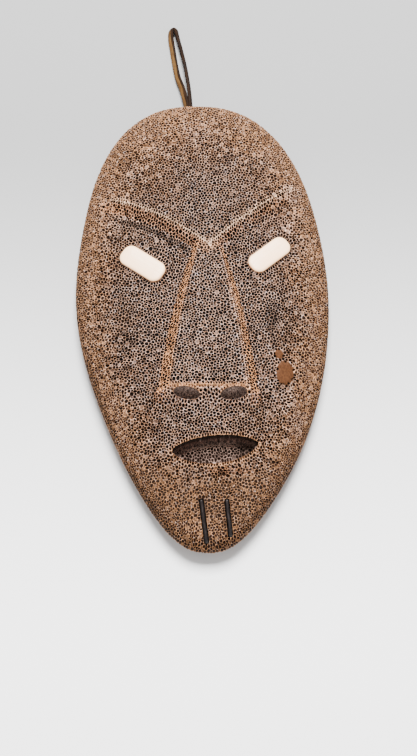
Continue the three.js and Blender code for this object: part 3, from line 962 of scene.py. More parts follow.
# %% Laying the sheet on the form
PORE_DEPTH = 1.25
SIDE_PORE_DEPTH = 1.0
BACK_PORE_DEPTH = 1.6
NOSTRIL_RUN = 0.5
TURN_IN = (0.93, 1.0)
SIDE_REACH = 1.9
FACE_STEP = 0.4

# The face, with its recesses
x, y = sheet[:, 0].copy(), sheet[:, 1].copy()
floor_height = face_height(x, y)
dropped = np.zeros(len(sheet))
nostril_depth = np.zeros(len(sheet))
for recess in RECESSES:
    x, y, drop, inside = drawn_to_edge(x, y, recess)
    if "nostril" in recess["name"]:
        nostril_depth = np.maximum(nostril_depth, np.clip(inside / NOSTRIL_RUN, 0, 1))
    floor_height = np.where(drop > 0, recess["floor"](x, y, inside), floor_height)
    dropped = np.maximum(dropped, drop)
height = face_height(x, y) * (1 - dropped) + floor_height * dropped
slope = np.hypot(*slopes(face_height, x, y, FACE_STEP))
turn_in = ease(share, *TURN_IN)[:, None]
into = unit_rows(np.column_stack([-outward * turn_in, turn_in - 1]))
face_place = np.column_stack([x, y, height]) + into * (PORE_DEPTH * pit)[:, None]

# The side, which rolls under from the rim to the flat back
level = 1 - np.clip(beyond / SIDE_REACH, 0, 1)
roll_in = BACK_INSET * (1 - np.sqrt(1 - (1 - level) ** 2))
side_plan = rim_point - outward * (roll_in + SIDE_PORE_DEPTH * pit)[:, None]
side_place = np.column_stack([side_plan, RIM_HEIGHT * level])

# The back
back_edge = rim_point - outward * BACK_INSET
back_plan = back_edge * (share / (1 + SIDE_END / rim_reach))[:, None]
back_place = np.column_stack([back_plan, BACK_PORE_DEPTH * pit])

place = np.where(is_back[:, None], back_place, np.where(is_side[:, None], side_place, face_place))
mesh.vertices.foreach_set("co", to_frame(place).ravel())
mesh.update()
shade_smooth(mesh)
print("bone from", place.min(0).round(2), "to", place.max(0).round(2), "mm")

# %% A flat chart for the bone
SHEET_SPAN = 196.0
FRONT_MIDDLE = 49
BACK_MIDDLE = 147
CHART_Y = 85

starts = numbers(mesh.polygons, "loop_start", 1, np.int32)
corner_vertex = numbers(mesh.loops, "vertex_index", 1, np.int32)
totals = np.diff(np.append(starts, len(mesh.loops)))
front_face = np.maximum.reduceat(sheet[corner_vertex, 2], starts) > 0
front_corner = np.repeat(front_face, totals)
# A cell on the bottom edge has corners on the back sheet, which are unfolded past the edge
unfolded = point_at(2 * (1 + SIDE_END / rim_reach) - share, angle)
chart = np.where((front_corner & is_back[corner_vertex])[:, None], unfolded[corner_vertex],
                 sheet[corner_vertex, :2])
chart_x = np.where(front_corner, FRONT_MIDDLE + chart[:, 0], BACK_MIDDLE - chart[:, 0])
uv = np.column_stack([chart_x, CHART_Y + chart[:, 1]]) / SHEET_SPAN
mesh.uv_layers.new(name="OFBake").data.foreach_set("uv", uv.astype(np.float32).ravel())
print("chart from", uv.min(0).round(3), "to", uv.max(0).round(3))

# %% Crests, lips and the nose, as marks for the finish
CREST_WIDTH = 0.75
LIP_BAND = 1.2
CURVE_STEP = 0.25
UNDER_NOSTRILS = 6
NOSE_SHARE = 0.75
NOSE_MEETS_FACE = 0.05
# Ranges over which a mark grows: with steepness, down from the nose's crest, and above its base
FLANK_STEEPNESS = (0.5, 0.85)
FLANK_START = (-0.6, 0.0)
FLANK_START_RIGHT = (0.3, 1.1)
FLANK_BASE = (NOSE_BASE - 4, NOSE_BASE)
LEFT_ARRIS = 0.8
RIGHT_ARRIS = 0.6
CREST_FADE = (0.68, 0.85)
CREST_LOSS = 0.6
BRIDGE_SPOT = (BRIDGE_X, BRIDGE_Y - 0.6, 3.4, 1.9, 0.8)
BRIDGE_FADE = (0.5, 1.3)


def on_face(values):
    """The values on the face, and nothing on the side and the back."""
    return np.where(is_back | is_side, 0, values)


def nearness(curves, width):
    """1 on any of the curves, falling off over a width."""
    gap = gap_to(zip(x, y), np.vstack([evenly(curve, CURVE_STEP)[0] for curve in curves]))
    return on_face(np.exp(-(gap / width) ** 2))


mouth_u, mouth_v, mouth_open = in_mouth_axes(*sheet.T[:2])
nose_crest = nearness(NOSE_CRESTS, CREST_WIDTH)
lip = nearness([recess["outline"] for recess in CARVED], CREST_WIDTH)
lip = np.where((y < NOSTRIL["y"]) & (y > NOSTRIL["y"] - UNDER_NOSTRILS), 0.0, lip)
lip = np.maximum(lip, nearness(NOSE_CRESTS[2:], CREST_WIDTH))
lip = np.maximum(lip, nearness([CARVED[0]["outline"]], LIP_BAND) * (mouth_v < 0)) * (1 - dropped)

steep = np.where(is_side, 1.0, np.where(is_back, 0.0, slope / np.hypot(1, slope)))
face_without_nose = dome_height(x, y) - hollow_depth(x, y)
on_nose = (share < NOSE_SHARE) & (nose_height(x, y) >= face_without_nose - NOSE_MEETS_FACE)
down_side = past_nose(x, y)
flank = ease(steep, *FLANK_STEEPNESS) * on_nose * ease(down_side, *FLANK_START) * ease(y, *FLANK_BASE)
# On the right the rusty part is only a line along the foot of the nose
flank = flank * np.where(x > NOSE_X, ease(down_side, *FLANK_START_RIGHT), 1)
arris = np.where(x > NOSE_X, RIGHT_ARRIS, LEFT_ARRIS) * nose_crest
flank = np.maximum(flank, arris) * (1 - dropped)

# The crests are worn, and a pale highlight is painted along them and on the bridge
crest = nearness(BROW_CRESTS, CREST_WIDTH) * (1 - CREST_LOSS * ease(share, *CREST_FADE))
crest = np.maximum(crest, patches([BRIDGE_SPOT], BRIDGE_FADE, x, y) * (1 - is_back))
print("points on the brow's crests", int((crest > 0.5).sum()), "and on the nose's", int((flank > 0.5).sum()))

# %% How far the pores are worn shut
# How much each part of the carving closes its pores, from 0 to 1
WORN_FLANK = 0.2
WORN_CREST = 0.72
WORN_LIP = 0.65
WORN_UNDER_NOSE = 0.5
WORN_NOSE_CREST = 0.35
WORN_NOSTRIL = 0.7
WORN_MOUTH_TOP = 0.85
WORN_MOUTH = 0.4
MOUTH_TOP = 3.0

# Depth into the mouth from its upper lip
mouth_in = (MOUTH["upper"] * mouth_open - mouth_v) * (mouth_distance(*sheet.T[:2]) < 0)
in_mouth = (mouth_in > 0) & (dropped > 0.5)
under_nose = (y < NOSE_BASE) & on_nose
open_share = 1.0
for worn, where in [
    (WORN_FLANK, flank), (WORN_CREST, crest), (WORN_LIP, lip), (WORN_UNDER_NOSE, under_nose),
    (WORN_NOSE_CREST, nose_crest), (WORN_NOSTRIL, nostril_depth),
    (np.where(mouth_in < MOUTH_TOP, WORN_MOUTH_TOP, WORN_MOUTH), in_mouth),
]:
    open_share = open_share * (1 - worn * where)
open_share = np.where(is_back | is_side, 1, open_share)
print("pores of the face are", (100 * open_share[~is_back].mean()).round(), "percent open")

# %% Patches of colour on the face
RUST_PATCHES = [
    (-14.0, -29.5, 3.2, 3.5, 1.0), (18.0, -29.5, 3.0, 3.5, 1.0), (-31.0, -52.0, 9.0, 8.0, 0.8),
    (9.0, -53.5, 12.0, 2.0, 0.8),
]
# Pale patches of the bone; the one on the right cove under the brow, at (24, 31), is painted light
PALE_AND_LIT_PATCHES = [
    (25.0, -29.0, 8.0, 8.0, 1.0), (-22.0, -27.5, 5.5, 5.0, 0.8), (-2.0, -34.0, 17.0, 4.5, 0.6),
    (31.5, -37.0, 6.0, 9.0, 0.5), (3.0, 0.0, 10.0, 30.0, 0.8), (-28.0, 33.0, 7.0, 4.0, 0.8),
    (3.0, 44.0, 20.0, 14.0, 0.9), (31.0, 44.0, 7.0, 6.0, 0.6), (24.0, 31.0, 9.0, 6.0, 1.2),
    (17.2, -2.0, 3.6, 22.0, 1.1),
]
# Places where shade is painted: the cheeks beside the nose, the low chin and between the nostrils
SHADE_PATCHES = [
    (23.5, -3.0, 4.0, 14.0, 0.6), (-24.0, -6.0, 12.0, 18.0, 0.45), (5.0, -67.0, 12.0, 5.0, 0.5),
    (27.0, -6.0, 10.0, 14.0, 0.4), (2.5, -28.7, 6.0, 2.0, 0.5),
]
PATCH_FADE = (0.2, 1.3)
CREASE_BELOW = 6.4
CREASE_WIDTH = 1.2
# Where the painted shade of the crease starts and ends along x, on the left and on the right
CREASES = [
    {"strength": 1.1, "start": (-34.0, -24.0), "end": (-6.0, -2.0)},
    {"strength": 0.275, "start": (6.0, 9.0), "end": (20.0, 28.0)},
]
COVE_TOP = (0.0, 1.5)
COVE_FOOT = (3.5, 5.5)
COVE_END = (0.8, 0.95)
COVE_RIGHT = 0.55
# Ranges up the mouth, towards its right corner, and down the chin, over which painted light and shade grow
MOUTH_RISE = (-2.5, 2.0)
MOUTH_CORNER = (5.0, 11.0)
CHIN_TOP = (-44, -58)
CHIN_FOOT = (-66, -74)
RIMWARD_BACK = 0.55


def brow_crease_shade(x, y):
    """Painted shade in the crease along the bottom of the cove under the brow, deeper on the left."""
    across = np.exp(-((brow_line(x) - y - CREASE_BELOW) / CREASE_WIDTH) ** 2)
    return across * sum(part["strength"] * ease(x, *part["start"]) * (1 - ease(x, *part["end"]))
                        for part in CREASES)


def lit_brow_cove(x, y):
    """The tan band on the cove's slope, between the brow's crest and the crease, partly painted light
    against the shadow of the brow.
    """
    below = brow_line(x) - y
    across = ease(below, *COVE_TOP) * (1 - ease(below, *COVE_FOOT))
    return np.where(x < BRIDGE_X, 1.0, COVE_RIGHT) * across * (1 - ease(share_out(x, y), *COVE_END))


plan = sheet[:, 0], sheet[:, 1]
MARKS = {
    "pore": pit * open_share,
    "rimward": np.where(is_back, RIMWARD_BACK, np.minimum(rimward_share(share, y), 1)),
    "steep": steep,
    "crest": crest,
    "flank": flank,
    "lip": lip,
    "recess": on_face(dropped),
    "nostril": on_face(nostril_depth),
    "mouth_in": on_face(mouth_in),
    # Painted light up the mouth's floor, and painted shade in its right corner
    "mouth_painted_light": ease(mouth_v, *MOUTH_RISE),
    "mouth_corner_shade": ease(mouth_u, *MOUTH_CORNER),
    # Painted shade on the chin, which faces away from the lamp
    "chin": ease(y, *CHIN_TOP) * (1 - ease(y, *CHIN_FOOT)) * (1 - is_back),
    # Painted shade patches, and painted shade along the brow's crease
    "dim": on_face(np.maximum(patches(SHADE_PATCHES, PATCH_FADE, *plan), brow_crease_shade(*plan))),
    "rust": on_face(patches(RUST_PATCHES, PATCH_FADE, *plan)),
    "pale": on_face(patches(PALE_AND_LIT_PATCHES, PATCH_FADE, *plan)),
    "spot": on_face(patches(DENSE_SPOTS, SPOT_FADE, *plan)),
    "cove": on_face(lit_brow_cove(*plan)),
}
for name, values in MARKS.items():
    store(pillow, name, values)
print(len(MARKS), "marks stored")

# %% [markdown]
# ## Shared effects
#
# Bone, ivory, baleen and hide are all grown things, so their finishes share three effects: a mottle of
# soft patches, fibres that run one way, and a fine grain that is felt more than seen. Each is a node
# group with named inputs that gives back a plain value. They read coordinates in millimetres, so the
# grain has one true size on every piece.

# %% Mottle, fibres and grain
def pattern(name, inputs, output):
    """A node group that reads a coordinate and gives back one number."""
    sockets = [("Coordinate", "NodeSocketVector", None)] + inputs
    return new_tree(name, sockets, [(output, "NodeSocketFloat")], "ShaderNodeTree")


def build_mottle():
    """Soft patches of a given size, as a value from 0 to 1."""
    nodes, given, result = pattern("mottle", [
        ("Size", "NodeSocketFloat", 5.0),
        ("Contrast", "NodeSocketFloat", 1.5),
        ("Seed", "NodeSocketFloat", 0.0),
    ], "Value")
    noise = nodes.put("ShaderNodeTexNoise", {
        "Vector": given["Coordinate"], "W": given["Seed"], "Detail": 3.0,
        "Scale": nodes.maths("DIVIDE", 1.0, given["Size"]),
    }, noise_dimensions="4D")["Fac"]
    strong = nodes.times(nodes.maths("SUBTRACT", noise, 0.5), given["Contrast"])
    nodes.set_inputs(result, {"Value": nodes.maths("ADD", strong, 0.5, use_clamp=True)})
    return nodes.tree


def build_fibres():
    """Streaks that run along the axis whose stretch is small, as a value from 0 to 1."""
    nodes, given, result = pattern("fibres", [
        ("Stretch", "NodeSocketVector", (1.0, 0.1, 1.0)),
        ("Size", "NodeSocketFloat", 0.4),
        ("Seed", "NodeSocketFloat", 0.0),
    ], "Value")
    inputs = {0: given["Coordinate"], 1: given["Stretch"]}
    squeezed = nodes.put("ShaderNodeVectorMath", inputs, operation="MULTIPLY")[0]
    noise = nodes.put("ShaderNodeTexNoise", {
        "Vector": squeezed, "W": given["Seed"], "Detail": 2.0, "Distortion": 0.3,
        "Scale": nodes.maths("DIVIDE", 1.0, given["Size"]),
    }, noise_dimensions="4D")["Fac"]
    nodes.set_inputs(result, {"Value": nodes.step(noise, 0.3, 0.7)})
    return nodes.tree


def build_grain():
    """A fine grain of two sizes, as a height from 0 to 1."""
    nodes, given, result = pattern("grain", [("Size", "NodeSocketFloat", 0.2)], "Height")
    scale = nodes.maths("DIVIDE", 1.0, given["Size"])
    inputs = {"Vector": given["Coordinate"], "Scale": scale, "Detail": 3.0}
    coarse = nodes.put("ShaderNodeTexNoise", inputs)["Fac"]
    inputs = {"Vector": given["Coordinate"], "Scale": nodes.times(scale, 0.7)}
    cells = nodes.put("ShaderNodeTexVoronoi", inputs)["Distance"]
    height = nodes.plus(nodes.times(coarse, 0.7), nodes.times(cells, 0.3))
    nodes.set_inputs(result, {"Height": height})
    return nodes.tree


mottle, fibres, grain = build_mottle(), build_fibres(), build_grain()
print("groups:", [group.name for group in (mottle, fibres, grain)])

# %% Calls that paint a material
class Paint(Nodes):
    """A material's node tree, with the patterns and mixes that its finish needs."""

    def __init__(self, material):
        super().__init__(material.node_tree)
        self.material = material
        self.place = self.bright(self.put("ShaderNodeTexCoord", {})["Object"], 1000.0)

    def read(self, name):
        """A number that was stored with the mesh."""
        return self.put("ShaderNodeAttribute", {}, attribute_name=name)["Fac"]

    def own_coordinates(self):
        """A piece's own coordinates along and across it, in millimetres."""
        inputs = {"X": self.read("along"), "Y": self.read("across")}
        return self.put("ShaderNodeCombineXYZ", inputs)["Vector"]

    def cloud(self, size, contrast, seed):
        """A mottle in the object's own coordinates."""
        inputs = {"Coordinate": self.place, "Size": size, "Contrast": contrast, "Seed": seed}
        return self.put("ShaderNodeGroup", inputs, node_tree=mottle)[0]

    def streaks(self, coordinate, stretch, size, seed):
        inputs = {"Coordinate": coordinate, "Stretch": stretch, "Size": size, "Seed": seed}
        return self.put("ShaderNodeGroup", inputs, node_tree=fibres)[0]

    def grit(self, size):
        return self.put("ShaderNodeGroup", {"Coordinate": self.place, "Size": size}, node_tree=grain)[0]

    def swing(self, value, amount):
        """A value from 0 to 1 as a swing of plus or minus half the amount."""
        return self.times(self.maths("SUBTRACT", value, 0.5), amount)

    def mix(self, factor, first, second):
        return self.put("ShaderNodeMix", {0: factor, 6: first, 7: second}, data_type="RGBA")[2]

    def mix_all(self, colour, layers):
        """Lays colours over the first one, each by its factor."""
        for factor, layer in layers:
            colour = self.mix(factor, colour, layer)
        return colour

    def bright(self, colour, factor):
        """A colour, or any vector, times a number."""
        return self.put("ShaderNodeVectorMath", {0: colour, "Scale": factor}, operation="SCALE")[0]

    def finish(self, colour, roughness, specular, **bump):
        """Sets the surface, and a bump with its height, strength and distance if they are given."""
        inputs = {"Base Color": colour, "Roughness": roughness, "Specular IOR Level": specular}
        if bump:
            named = {key.capitalize(): value for key, value in bump.items()}
            inputs["Normal"] = self.put("ShaderNodeBump", named)["Normal"]
        self.set_inputs(self.tree.nodes["Principled BSDF"], inputs)
        print(self.material.name, "finished with", len(self.tree.nodes), "nodes")


def new_paint(name):
    material = bpy.data.materials.new(name)
    material.use_nodes = True
    return Paint(material)


print("more calls:", [name for name in vars(Paint) if not name.startswith("_")])

# %% [markdown]
# ## Whalebone
#
# The carver left the bone bare. In the middle of the face its walls are pale, with cool and warm specks,
# and the pores nearly black, which is painted shade deep in each pit. Towards the rim, where hands hold
# it, the walls are tan and the pores brown. The left side of the nose shows its canals lengthwise, as
# rusty streaks, and worn arrises carry pale lines of painted highlight. The mouth has painted shade under
# its upper lip and painted light on its floor, the cove under the brow is partly painted light, and
# painted shade darkens the brow's crease, the cheeks beside the nose and the chin. Two dense brown spots
# on the right cheek have no pores.

# %% Colours of the bone
PALE_WALL = (0.44, 0.278, 0.203, 1)
TAN_WALL = (0.222, 0.110, 0.050, 1)
RUST_WALL = (0.21, 0.075, 0.025, 1)
ASH_WALL = (0.33, 0.255, 0.225, 1)
COOL_WALL = (0.33, 0.31, 0.34, 1)
WARM_WALL = (0.50, 0.24, 0.12, 1)
FLANK_WALL = (0.45, 0.20, 0.085, 1)
EDGE_WALL = (0.45, 0.22, 0.10, 1)
# Tan, and painted light, for the cove under the brow
COVE_TAN_AND_LIGHT = (0.46, 0.21, 0.10, 1)
# Painted highlight along the worn crests
CREST_HIGHLIGHT = (0.66, 0.43, 0.28, 1)
# Painted shade, for the cheeks beside the nose, the low chin and the brow's crease
SHADE_WALL = (0.07, 0.048, 0.038, 1)
# Painted shade and light in the recesses: darker walls, painted light on the mouth's upper floor where the
# lamp's shadow falls, half and full shade under the upper lip, and darker nostrils
RECESS_SHADED_WALL = (0.165, 0.108, 0.087, 1)
RECESS_PAINTED_LIGHT = (0.50, 0.34, 0.275, 1)
RECESS_HALF_SHADE = (0.13, 0.085, 0.07, 1)
RECESS_SHADE = (0.03, 0.02, 0.016, 1)
NOSTRIL_SHADE = (0.17, 0.12, 0.10, 1)
SPOT_BROWN = (0.057, 0.022, 0.0085)
# Painted shade deep in the pores: black in the middle of the face, brown near the rim, browner on a pit's
# sides
HOLE_SHADE = (0.003, 0.002, 0.0018, 1)
BROWN_HOLE_SHADE = (0.012, 0.005, 0.0025, 1)
HOLE_SIDE_SHADE = (0.014, 0.008, 0.0055, 1)
print("walls run from", PALE_WALL[:3], "to", TAN_WALL[:3])

# %% Patterns in the bone
RIM_RADIUS = 48.0
FLATTENING = (1.0, 0.55, 0.0)

bone = Paint(bone_material)
broad = bone.cloud(size=13.0, contrast=2.2, seed=1.0)
small = bone.cloud(size=2.6, contrast=2.4, seed=2.0)
single = bone.cloud(size=0.55, contrast=2.8, seed=3.0)
speckle = bone.cloud(size=0.5, contrast=3.2, seed=5.0)
tint = bone.cloud(size=0.75, contrast=3.4, seed=21.0)
frayed = bone.plus(bone.swing(small, 0.35), bone.swing(single, 0.3))
rimward = bone.step(bone.plus(bone.read("rimward"), bone.swing(broad, 0.3)), 0.35, 0.95)


def ragged_mask(name, low=0.3, high=0.7):
    """A mark as a mask whose edge is broken up by the mottle."""
    return bone.step(bone.plus(bone.read(name), frayed), low, high)


# Streaks down steep faces, and streaks that run outwards near the rim
down = bone.streaks(bone.place, stretch=(1.0, 1.0, 0.12), size=0.45, seed=4.0)
flat = bone.put("ShaderNodeVectorMath", {0: bone.place, 1: FLATTENING}, operation="MULTIPLY")[0]
radius = bone.put("ShaderNodeVectorMath", {0: flat}, operation="LENGTH")["Value"]
direction = bone.put("ShaderNodeVectorMath", {0: flat}, operation="NORMALIZE")[0]
inputs = {0: bone.bright(direction, RIM_RADIUS), 1: bone.put("ShaderNodeCombineXYZ", {"Z": radius})[0]}
radial = bone.put("ShaderNodeVectorMath", inputs, operation="ADD")[0]
out = bone.streaks(radial, stretch=(1.0, 1.0, 0.22), size=0.6, seed=12.0)
steep_streaks = bone.times(bone.step(bone.read("steep"), 0.45, 0.85), down)
streaked = bone.larger(steep_streaks, bone.times(bone.step(rimward, 0.4, 0.9), out))
print("patterns use", len(bone.tree.nodes), "nodes")

# %% Walls between the pores
rusty = bone.times(bone.step(single, 0.45, 0.95), bone.step(rimward, 0.0, 1.0, 0.45, 0.6))
cool = bone.times(bone.step(tint, 0.6, 0.95), bone.step(rimward, 0.0, 1.0, 0.6, 0.2))
# The recesses' painted shade and light: lighter up the mouth's floor against the lamp's shadow, shade in its
# right corner and under its upper lip, and darker nostrils
recess_shading = bone.mix(bone.read("mouth_painted_light"), RECESS_SHADED_WALL, RECESS_PAINTED_LIGHT)
recess_shading = bone.mix(bone.times(bone.read("mouth_corner_shade"), 0.7), recess_shading, RECESS_SHADE)
recess_shading = bone.mix(bone.step(bone.read("mouth_in"), 1.2, 3.4), RECESS_HALF_SHADE, recess_shading)
recess_shading = bone.mix(bone.step(bone.read("mouth_in"), 0.6, 1.1), RECESS_SHADE, recess_shading)
recess_shading = bone.mix(bone.read("nostril"), recess_shading, NOSTRIL_SHADE)
wall = bone.mix_all(bone.mix(rimward, PALE_WALL, TAN_WALL), [
    # Pale patches, one of them painted light on the right cove
    (bone.times(ragged_mask("pale"), 0.6), PALE_WALL),
    (bone.larger(rusty, bone.times(ragged_mask("rust"), 0.6)), RUST_WALL),
    (bone.step(single, 0.3, 0.05, 0.0, 0.6), ASH_WALL),
    (cool, COOL_WALL),
    (bone.step(tint, 0.4, 0.05, 0.0, 0.5), WARM_WALL),
    (bone.times(ragged_mask("flank", 0.25, 1.0), 0.9), FLANK_WALL),
    (bone.times(bone.read("lip"), 0.8), EDGE_WALL),
    # Worn arrises, with a painted highlight along the brow's crests
    (bone.times(bone.read("crest"), bone.step(speckle, 0.1, 0.7, 0.6, 1.0)), CREST_HIGHLIGHT),
    # Tan, and painted light, on the cove's slope under the brow
    (bone.times(ragged_mask("cove"), 0.6), COVE_TAN_AND_LIGHT),
    # Painted shade: grey-brown walls in the shade patches and along the brow's crease
    (bone.times(ragged_mask("dim"), 0.65), SHADE_WALL),
    (bone.step(bone.read("recess"), 0.02, 0.1), recess_shading),
])
# Each wall is brighter or darker than its neighbours, and shade is painted on the chin, which is darker than
# the cheeks
brightest = bone.step(rimward, 0.0, 1.0, 2.1, 1.8)
for factor in (bone.step(speckle, 0.0, 1.0, 0.34, brightest),
               bone.step(bone.read("chin"), 0.0, 1.0, 1.0, 0.75),
               bone.step(streaked, 0.0, 1.0, 0.75, 1.35)):
    wall = bone.bright(wall, factor)
spot = bone.bright(SPOT_BROWN, bone.step(speckle, 0.0, 1.0, 0.75, 1.25))
wall = bone.mix(ragged_mask("spot", 0.1, 0.45), wall, spot)
print("walls use", len(bone.tree.nodes), "nodes")

# %% Holes, and the finished bone
depth = bone.plus(bone.read("pore"), bone.swing(single, 0.06))
# Near the rim the painted shade of a pore begins a little higher up its sides
widened = bone.plus(depth, bone.times(bone.step(bone.read("rimward"), 0.7, 0.85), 0.045))
in_hole = bone.step(widened, 0.08, 0.15)
lot = bone.read("lot")
deep = bone.step(depth, 0.15, bone.plus(bone.times(lot, 0.2), 0.2))
# A pore's near-black colour is painted shade, darkest at its bottom; pores packed with dust show a darker
# copy of the wall instead
hole_shade_and_dust = bone.mix(deep, HOLE_SIDE_SHADE, bone.mix(rimward, HOLE_SHADE, BROWN_HOLE_SHADE))
# Some pores are packed with dust, more of them near the rim
packed = bone.maths("LESS_THAN", lot, bone.step(rimward, 0.0, 1.0, 0.08, 0.36))
hole_shade_and_dust = bone.mix(bone.times(packed, 0.6), hole_shade_and_dust, bone.bright(wall, 0.7))
roughness = bone.step(bone.plus(small, in_hole), 0.0, 2.0, 0.6, 0.95)
colour = bone.mix(in_hole, wall, hole_shade_and_dust)
bone.finish(colour, roughness, specular=0.05, height=bone.grit(0.22), strength=0.6, distance=0.00006)

# %% [markdown]
# ## Ivory eyes
#
# Each eye is a bar of ivory with round ends, cut with a saw, smoothed, and pressed into its pocket, where
# it stands a hair proud. Its top is a little domed and its edge is broken. A rounded box with a bevel
# would do. Rings of the outline are used here, because they also say how near the edge a point lies,
# and the edge is where brown dirt gathers and a thin brown line of shade is painted.

# %% Eye meshes
SIDE_POINTS = 6
CORNER_POINTS = 10
EYE_BEVEL = 0.7
EYE_CROWN = 0.2
EYE_INSETS = [0.0, 0.0, 0.04, 0.16, 0.36, 0.7, 1.2, 1.8, 2.4]
LAST_RING = 0.6
LEAST_CORNER = 0.4
DIRT_AND_SHADE_WIDTH = 0.45
NORMAL_STEP = 2.0


def bar_outline(half_length, half_width, corner):
    """Anticlockwise points round a bar with round corners."""
    points = []
    for quarter in range(4):
        middle_x = (half_length - corner) * (1 if quarter in (0, 3) else -1)
        middle_y = (half_width - corner) * (1 if quarter < 2 else -1)
        for k in range(CORNER_POINTS + 1):
            turn = math.pi / 2 * (quarter + k / CORNER_POINTS)
            points.append((middle_x + corner * math.cos(turn), middle_y + corner * math.sin(turn)))
    points = np.array(points)
    out = []
    for index, (point, following) in enumerate(zip(points, np.roll(points, -1, axis=0))):
        pieces = SIDE_POINTS if index % (CORNER_POINTS + 1) == CORNER_POINTS else 1
        out.extend(point + (following - point) * k / pieces for k in range(pieces))
    return np.array(out)


def face_normal(x, y):
    """The face's normal as the solid's eyes take it, over a few millimetres."""
    slope_x, slope_y = slopes(face_height, x, y, NORMAL_STEP)
    return Vector((-slope_x, -slope_y, 1)).normalized()


def eye_rings(eye):
    """Rings from the foot to the top, in the eye's own coordinates, and how near the edge each is."""
    half_width = eye["width"] / 2
    rings, edges = [], []
    for index, inset in enumerate(EYE_INSETS + [half_width - LAST_RING]):
        corner = max(EYE_CORNER - inset, LEAST_CORNER)
        outline = bar_outline(eye["length"] / 2 - inset, half_width - inset, corner)
        fall = EYE_BEVEL - math.sqrt(EYE_BEVEL ** 2 - max(EYE_BEVEL - inset, 0) ** 2)
        crown = EYE_CROWN * (1 - ((half_width - inset) / half_width) ** 2)
        z = EYE_PROUD + (crown - fall if index else -EYE_THICKNESS)
        rings.append(np.column_stack([outline, np.full(len(outline), z)]))
        edges.append(np.full(len(outline), math.exp(-inset / DIRT_AND_SHADE_WIDTH)))
    return rings, edges


def eye_piece(name, eye):
    rings, edges = eye_rings(eye)
    points = np.vstack(rings + [[[0, 0, EYE_PROUD + EYE_CROWN]]])
    lean = Vector((0, 0, 1)).rotation_difference(face_normal(eye["x"], eye["y"]))
    foot = Vector((eye["x"], eye["y"], face_height(eye["x"], eye["y"])))
    cosine, sine = math.cos(eye["turn"]), math.sin(eye["turn"])
    placed = [lean @ Vector((px * cosine - py * sine, px * sine + py * cosine, pz)) + foot
              for px, py, pz in points]
    around = len(rings[0])
    last, top = (len(rings) - 1) * around, len(rings) * around
    fan = [(last + k, last + (k + 1) % around, top) for k in range(around)]
    piece = closed_piece(name, placed, tube_faces(len(rings), around)[:-1] + fan)
    store(piece, "edge", np.concatenate(edges + [[0.0]]))
    store(piece, "along", points[:, 0])
    store(piece, "across", points[:, 1])
    return piece


eyes = [eye_piece("ivory_eye_left", LEFT_EYE), eye_piece("ivory_eye_right", RIGHT_EYE)]
print("eyes of", [len(eye.data.polygons) for eye in eyes], "faces")

# %% Ivory finish
IVORY = (1.0, 0.68, 0.40, 1)
IVORY_WARM = (0.98, 0.56, 0.28, 1)
IVORY_DIRT_AND_SHADE = (0.25, 0.10, 0.04, 1)

ivory = new_paint("ivory")
lines = ivory.streaks(ivory.own_coordinates(), stretch=(0.08, 1.0, 1.0), size=0.5, seed=6.0)
cloud = ivory.cloud(size=4.0, contrast=2.0, seed=7.0)
edge = ivory.read("edge")
# Brown dirt, and a painted line of shade, along the edge of the ivory
dirt_and_shade = ivory.step(ivory.plus(edge, ivory.times(cloud, 0.25)), 0.85, 1.2)
colour = ivory.mix_all(IVORY, [
    (ivory.times(cloud, 0.35), IVORY_WARM),
    (ivory.times(lines, 0.12), IVORY_WARM),
    (ivory.times(edge, 0.45), IVORY_WARM),
    (ivory.times(dirt_and_shade, 0.6), IVORY_DIRT_AND_SHADE),
])
roughness = ivory.step(ivory.plus(cloud, lines), 0.0, 2.0, 0.3, 0.5)
height = ivory.plus(ivory.times(lines, 0.5), ivory.grit(0.5))
ivory.finish(colour, roughness, specular=0.5, height=height, strength=0.35, distance=0.00004)

# %% [markdown]
# ## Baleen blades
#
# Two slips of baleen, the horny plate from a whale's jaw, stand edgeways in slots down the chin. They are
# thin, dark and fibrous, and their top edges follow the chin. A box with a boolean would be stiff and
# straight; a section drawn along the slot bends with the face.

# %% Blade meshes
BLADE_STATIONS = 28
# Across in half thicknesses, and height over the chin
BLADE_SECTION = np.array([
    (-1, -STRIP_DEPTH), (1, -STRIP_DEPTH), (1, -0.8), (1, -0.15), (0.86, 0.1), (0.5, STRIP_PROUD),
    (0, STRIP_PROUD), (-0.5, STRIP_PROUD), (-0.86, 0.1), (-1, -0.15), (-1, -0.8),
])
BLADE_FOOT = -0.5
TAPER_RUN = 0.7
TAPER = 0.25
END_DROP = 1.2
WANDER = 0.06
WANDER_WAVES = 9


def blade_piece(name, strip):
    start, end = np.array(strip["start"]), np.array(strip["end"])
    share = np.linspace(0, 1, BLADE_STATIONS)[:, None]
    length = np.linalg.norm(end - start)
    direction = (end - start) / length
    sideways = np.array([-direction[1], direction[0]])
    from_end = np.minimum(share, 1 - share) * length
    taper = np.sqrt(np.clip(from_end / TAPER_RUN, 0, 1)) * TAPER + 1 - TAPER
    middle = start + (end - start) * share + sideways * WANDER * np.sin(share * WANDER_WAVES + start[0])
    across, lift = BLADE_SECTION.T
    top = lift > BLADE_FOOT
    plan = middle[:, None, :] + sideways * (across * STRIP_THICKNESS / 2 * taper)[..., None]
    z = face_height(*middle.T)[:, None] + lift - np.where(top, (1 - taper) * END_DROP, 0)
    vertices = np.concatenate([plan, z[..., None]], axis=2).reshape(-1, 3)
    piece = closed_piece(name, vertices, tube_faces(BLADE_STATIONS, len(BLADE_SECTION)))
    store(piece, "side", np.tile(np.where(top, np.abs(across), 1.0), BLADE_STATIONS))
    return piece


blades = [blade_piece("baleen_blade_left", LEFT_STRIP), blade_piece("baleen_blade_right", RIGHT_STRIP)]
print("blades of", [len(blade.data.polygons) for blade in blades], "faces")

